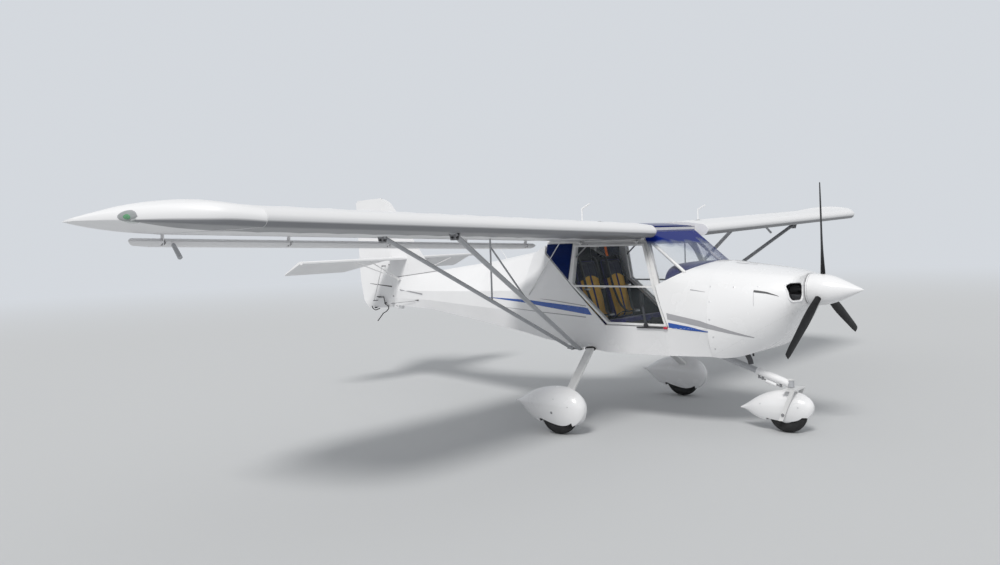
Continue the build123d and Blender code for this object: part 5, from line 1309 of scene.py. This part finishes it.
def make_tail():
    """The hook, rod and horn on the rudder, its cables, the strips with a painted shadow of the brace on the
    rudder, and the skid and aerial of the tail.
    """
    black, metal = on("panel_black", "yaw_surface"), on("engine_metal", "yaw_surface")
    for name, run in (("tail_hook", HOOK_RUN), ("tail_loop", LOOP_RUN)):
        tube(name, at_width(run, RUDDER_SIDE), 0.0055, *black, 10)
    for number, (x, z) in enumerate(((-3.230, 0.971), (-3.136, 0.905), (-3.300, 0.850))):
        tube(f"hook_post_{number}", [at(x, -0.008, z), at(x, RUDDER_SIDE - 0.007, z)], 0.0075, *black)
    rod = at_width(((-3.122, 1.330), (-3.289, 0.921)), -0.062)
    tube("rudder_rod", rod, 0.0045, *on("white_tube", "yaw_surface"), 10)
    for number, (x, z) in enumerate(((-3.126, 1.318), (-3.285, 0.932))):
        tube(f"rod_post_{number}", [at(x, -0.008, z), at(x, -0.068, z)], 0.006, *metal)
    slab("rudder_horn", on_side(HORN, 1), (0, 0, 1), 0.005, *metal, 0.0015)
    body = tree_of("rear_fuselage", "fin")
    rudder = tree_of("rudder")
    for side, sign in SIDES:
        snapped_strip(f"cable_fairing_{side}", body, *FAIRING_LINES, sign, SEAM_GREY, lift=0.004)
        # Painted shadow: a dark strip laid on the rudder where the brace's shadow falls
        snapped_strip(f"painted_brace_shadow_{side}", rudder, *BRACE_SHADOW_LINES, sign, DARK_SEAM_AND_PAINTED_SHADOW, "yaw_surface", 0.0014)
        snapped_strip(f"cable_exit_{side}", body, *EXIT_LINES, sign, DARK_SEAM_AND_PAINTED_SHADOW, lift=0.005)
        start, end = on_side(((-2.555, 0.122, 0.947), (-3.000, 0.070, 0.9055)), sign)
        path = [start.lerp(end, step / 12) for step in range(13)]
        cable = tube(f"rudder_cable_{side}", path, 0.0022, *on("engine_metal", None), 8)
        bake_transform(cable)
    box_piece("tail_skid", at(-2.952, -0.018, 0.846), at(-2.872, 0.018, 0.896), *MOULDING, 0.006)
    tube("whip_aerial", at_width(AERIAL_LINE, 0), [0.006, 0.003, 0.0022, 0.0016], *TUBING, 10)


# Undercarriage and doors

NOSE_LEG_LINE = ((0.905, 0.570), (1.500, 0.378))
AXLE_NUT = ((0.0, 0.014), (0.003, 0.014), (0.004, 0.010), (0.011, 0.010), (0.012, 0.006))
KNOB = ((-0.012, 0.009), (0.0, 0.012), (0.003, 0.020), (0.012, 0.021), (0.018, 0.017), (0.020, 0.006))
LATCH_TIP = ((0.694, 0.833), (0.698, 0.833), (0.722, 0.834), (0.727, 0.834))
PULL_LINE = ((0.010, -0.300, 1.520), (0.015, -0.300, 1.478), (0.024, -0.303, 1.440), (0.033, -0.298, 1.401))


def leg_line(*spots):
    """Points along the nose leg, each a share of its length and a drop below it."""
    (xa, za), (xb, zb) = NOSE_LEG_LINE
    return [at(xa + (xb - xa) * share, 0, za + (zb - za) * share - drop) for share, drop in spots]


def collar(name, centre, way, half_long, half_thin, length, material, body, slot):
    """A short flattened ring of rubber round a leg."""
    way = Vector(way).normalized()
    long_way = (Vector((1, 0, 0)) - way * way.x).normalized()
    thin_way = way.cross(long_way)
    points = []
    for shift, grow in ((-0.5, 0.9), (-0.35, 1.0), (0.35, 1.0), (0.5, 0.9)):
        for step in range(36):
            angle = math.tau * step / 36
            c, s = [math.copysign(abs(wave) ** 0.7, wave) for wave in (math.cos(angle), math.sin(angle))]
            spot = long_way * c * half_long + thin_way * s * half_thin
            points.append(centre + way * length * shift + spot * grow)
    piece(name, points, capped_faces(4, 36), material, body, slot)


def make_nose_leg():
    """The nose leg's fairing and sleeve, and its damper with three clamps."""
    tube("nose_leg_fairing", leg_line((0.05, 0), (0.54, 0)), 0.0245, STRUT_GREY, "airframe", "white_tube", 20)
    sleeve = leg_line((0.535, 0), (0.54, 0), (0.975, 0), (0.98, 0))
    tube("nose_leg_sleeve", sleeve, [0.026, 0.029, 0.029, 0.026], *MOULDING, 24)
    damper = leg_line((0.66, 0.052), (0.665, 0.052), (0.80, 0.052), (0.805, 0.052))
    tube("damper_body", damper, [0.012, 0.015, 0.015, 0.012], *MOULDING, 20)
    tube("damper_rod", leg_line((0.56, 0.047), (0.88, 0.050)), 0.005, *METAL)
    for number, share in enumerate((0.565, 0.615, 0.86)):
        tube(f"damper_clamp_{number}", leg_line((share, 0.020), (share, 0.056)), 0.009, *METAL)


def make_wheel_marks(side, sign):
    """A side's axle nut, leg cuff, and the screws and bolt of its pants."""
    hub = at(1.474, sign * 0.103, 0.152)
    spun(f"axle_nut_{side}", AXLE_NUT, hub, (0, sign, 0), *on("engine_metal", "nose_steering"), 6)
    pant = tree_of("nose_pant")
    for number, (station, z) in enumerate(((1.25, 0.24), (1.60, 0.22))):
        spot = at(station, sign * 0.15, z)
        screw(f"nose_pant_screw_{side}_{number}", pant, spot, 0.0045, *on("rim_metal", "nose_steering"))
    cuff = at(-0.0345, sign * 0.492, 0.6255)
    collar(f"leg_cuff_{side}", cuff, (0.087, sign * 0.461, -0.330), 0.0475, 0.0225, 0.014, *on("tyre_black"))
    pant = tree_of(f"main_pant_{side}")
    screw(f"pant_bolt_{side}", pant, at(-0.02, sign * 1.20, 0.165), 0.0085, *METAL)
    for number, (station, z) in enumerate(((0.17, 0.25), (-0.25, 0.24), (0.0, 0.335))):
        screw(f"pant_screw_{side}_{number}", pant, at(station, sign * 1.20, z), 0.0042, *RIM)


def make_latch(side, sign):
    """A door's latch rod with its red tip, its outer knob and its inner handle."""
    black = on("panel_black", f"{side}_door")
    y = sign * 0.5205
    tube(f"latch_rod_{side}", at_width(((0.448, 0.829), (0.700, 0.833)), y), 0.0055, *black)
    sizes = [0.006, 0.0095, 0.0095, 0.006]
    tube(f"latch_tip_{side}", at_width(LATCH_TIP, y), sizes, LATCH_RED, *black[1:], 16)
    spun(f"latch_knob_{side}", KNOB, at(0.532, sign * 0.511, 0.846), (0, sign, 0), *black, 32)
    inner = on_side(((0.532, 0.489, 0.858), (0.532, 0.462, 0.858), (0.470, 0.458, 0.862)), sign)
    tube(f"inner_latch_{side}", inner, 0.006, *black)


def make_gear_details():
    """Small parts of the undercarriage and the doors, and the pull under the roof."""
    make_nose_leg()
    for side, sign in SIDES:
        make_wheel_marks(side, sign)
        make_latch(side, sign)
    ribbon("roof_pull", on_side(PULL_LINE, 1), 0.020, (0.75, 0.66, 0.0), RIBBON, 0.001)


dress_frame()
for side, sign in SIDES:
    make_wing_skin(side, sign)
    make_wing_tip(side, sign)
make_windscreen()
make_skylight()
make_spinner()
make_bands()
make_glare_shield()
make_cabin_tubes()
make_lining()
make_panel()
make_sticks()
make_seats()
make_cowl_marks()
for side, sign in SIDES:
    make_wing_fittings(side, sign)
make_tail()
make_gear_details()


# Studio: a pale floor, a soft sky and one broad lamp

FLOOR_RADIUS = 60.0
FLOOR_SIDES = 96
FLOOR_COLOUR = (0.56, 0.57, 0.58)
FADE_RUN = (9.0, 30.0)
BACKDROP = (0.66, 0.69, 0.73)
SKY_COLOUR = (0.96, 0.98, 1.0)
SKY_LEVEL = 0.57
LAMP_LEVEL = 2.1
LAMP_COLOUR = (1.0, 0.985, 0.96)
LAMP_ANGLE = 15
LAMP_FROM = Vector((0.74, -1.74, 1.9))


def seen_directly(material):
    """A factor that is 1 for rays from the camera, a mirror or glass."""
    ray = add_node(material, "ShaderNodeLightPath").outputs
    seen = reckoned(material, "MAXIMUM", ray["Is Camera Ray"], ray["Is Glossy Ray"])
    return reckoned(material, "MAXIMUM", seen, ray["Is Transmission Ray"])


def blended(material, factor, first, second, output):
    """Give an output node a mix of two shaders by a factor."""
    mix = add_node(material, "ShaderNodeMixShader", Fac=factor)
    link(material, first.outputs[0], mix.inputs[1])
    link(material, second.outputs[0], mix.inputs[2])
    link(material, mix.outputs[0], material.node_tree.nodes[output].inputs["Surface"])


def make_sky():
    """An even sky that lights the object and shows as a pale backdrop."""
    world = bpy.data.worlds.new("sky")
    bpy.context.scene.world = world
    world.use_nodes = True
    lighting = world.node_tree.nodes["Background"]
    feed(world, lighting.inputs["Color"], (*SKY_COLOUR, 1))
    feed(world, lighting.inputs["Strength"], SKY_LEVEL)
    shown = add_node(world, "ShaderNodeBackground", Color=(*BACKDROP, 1))
    blended(world, seen_directly(world), lighting, shown, "World Output")


def make_floor():
    """A round floor that blends into the backdrop far from the object."""
    material = shader("floor", Base_Color=(*FLOOR_COLOUR, 1), Roughness=0.9, Specular_IOR_Level=0.1)
    far = add_node(material, "ShaderNodeEmission", Color=(*BACKDROP, 1))
    distance = add_node(material, "ShaderNodeVectorMath")
    distance.operation = "LENGTH"
    feed(material, distance.inputs[0], coordinates(material))
    fade = add_node(material, "ShaderNodeMapRange", From_Min=FADE_RUN[0], From_Max=FADE_RUN[1])
    fade.interpolation_type = "SMOOTHSTEP"
    feed(material, fade.inputs["Value"], distance.outputs["Value"])
    factor = reckoned(material, "MULTIPLY", fade.outputs["Result"], seen_directly(material))
    blended(material, factor, material.node_tree.nodes["Principled BSDF"], far, "Material Output")
    mesh = bpy.data.meshes.new("floor")
    angles = [math.tau * k / FLOOR_SIDES for k in range(FLOOR_SIDES)]
    corners = [(math.cos(angle) * FLOOR_RADIUS, math.sin(angle) * FLOOR_RADIUS, 0) for angle in angles]
    mesh.from_pydata(corners, [], [tuple(range(FLOOR_SIDES))])
    mesh.materials.append(material)
    floor = bpy.data.objects.new("floor", mesh)
    bpy.context.scene.collection.objects.link(floor)


def make_lamp():
    """One broad lamp from ahead on the right."""
    lamp = bpy.data.lights.new("key", "SUN")
    lamp.energy = LAMP_LEVEL
    lamp.angle = math.radians(LAMP_ANGLE)
    lamp.color = LAMP_COLOUR
    holder = bpy.data.objects.new("key", lamp)
    holder.rotation_euler = LAMP_FROM.to_track_quat("Z", "Y").to_euler()
    bpy.context.scene.collection.objects.link(holder)


# Camera of the photograph: its place, its turns in degrees and its lens in millimetres
CAMERA_PLACE = Vector((4.262 + AXLE_X, -6.545, 1.586))
CAMERA_YAW = 131.129
CAMERA_PITCH = -2.907
CAMERA_ROLL = -1.956
CAMERA_LENS = 31.624


def make_camera():
    """The camera that took the photograph."""
    yaw, pitch, roll = (math.radians(turn) for turn in (CAMERA_YAW, CAMERA_PITCH, CAMERA_ROLL))
    ahead = Vector((math.cos(yaw) * math.cos(pitch), math.sin(yaw) * math.cos(pitch), math.sin(pitch)))
    level = Vector((math.sin(yaw), -math.cos(yaw), 0))
    upright = level.cross(ahead)
    right = level * math.cos(roll) + upright * math.sin(roll)
    up = upright * math.cos(roll) - level * math.sin(roll)
    data = bpy.data.cameras.new("camera")
    data.sensor_width = 36
    data.lens = CAMERA_LENS
    data.clip_end = 300
    holder = bpy.data.objects.new("camera", data)
    turn = Matrix((right, up, -ahead)).transposed()
    holder.matrix_world = Matrix.Translation(CAMERA_PLACE) @ turn.to_4x4()
    bpy.context.scene.collection.objects.link(holder)
    bpy.context.scene.camera = holder


make_sky()
make_floor()
make_lamp()
make_camera()
bpy.context.scene.view_settings.view_transform = "Standard"
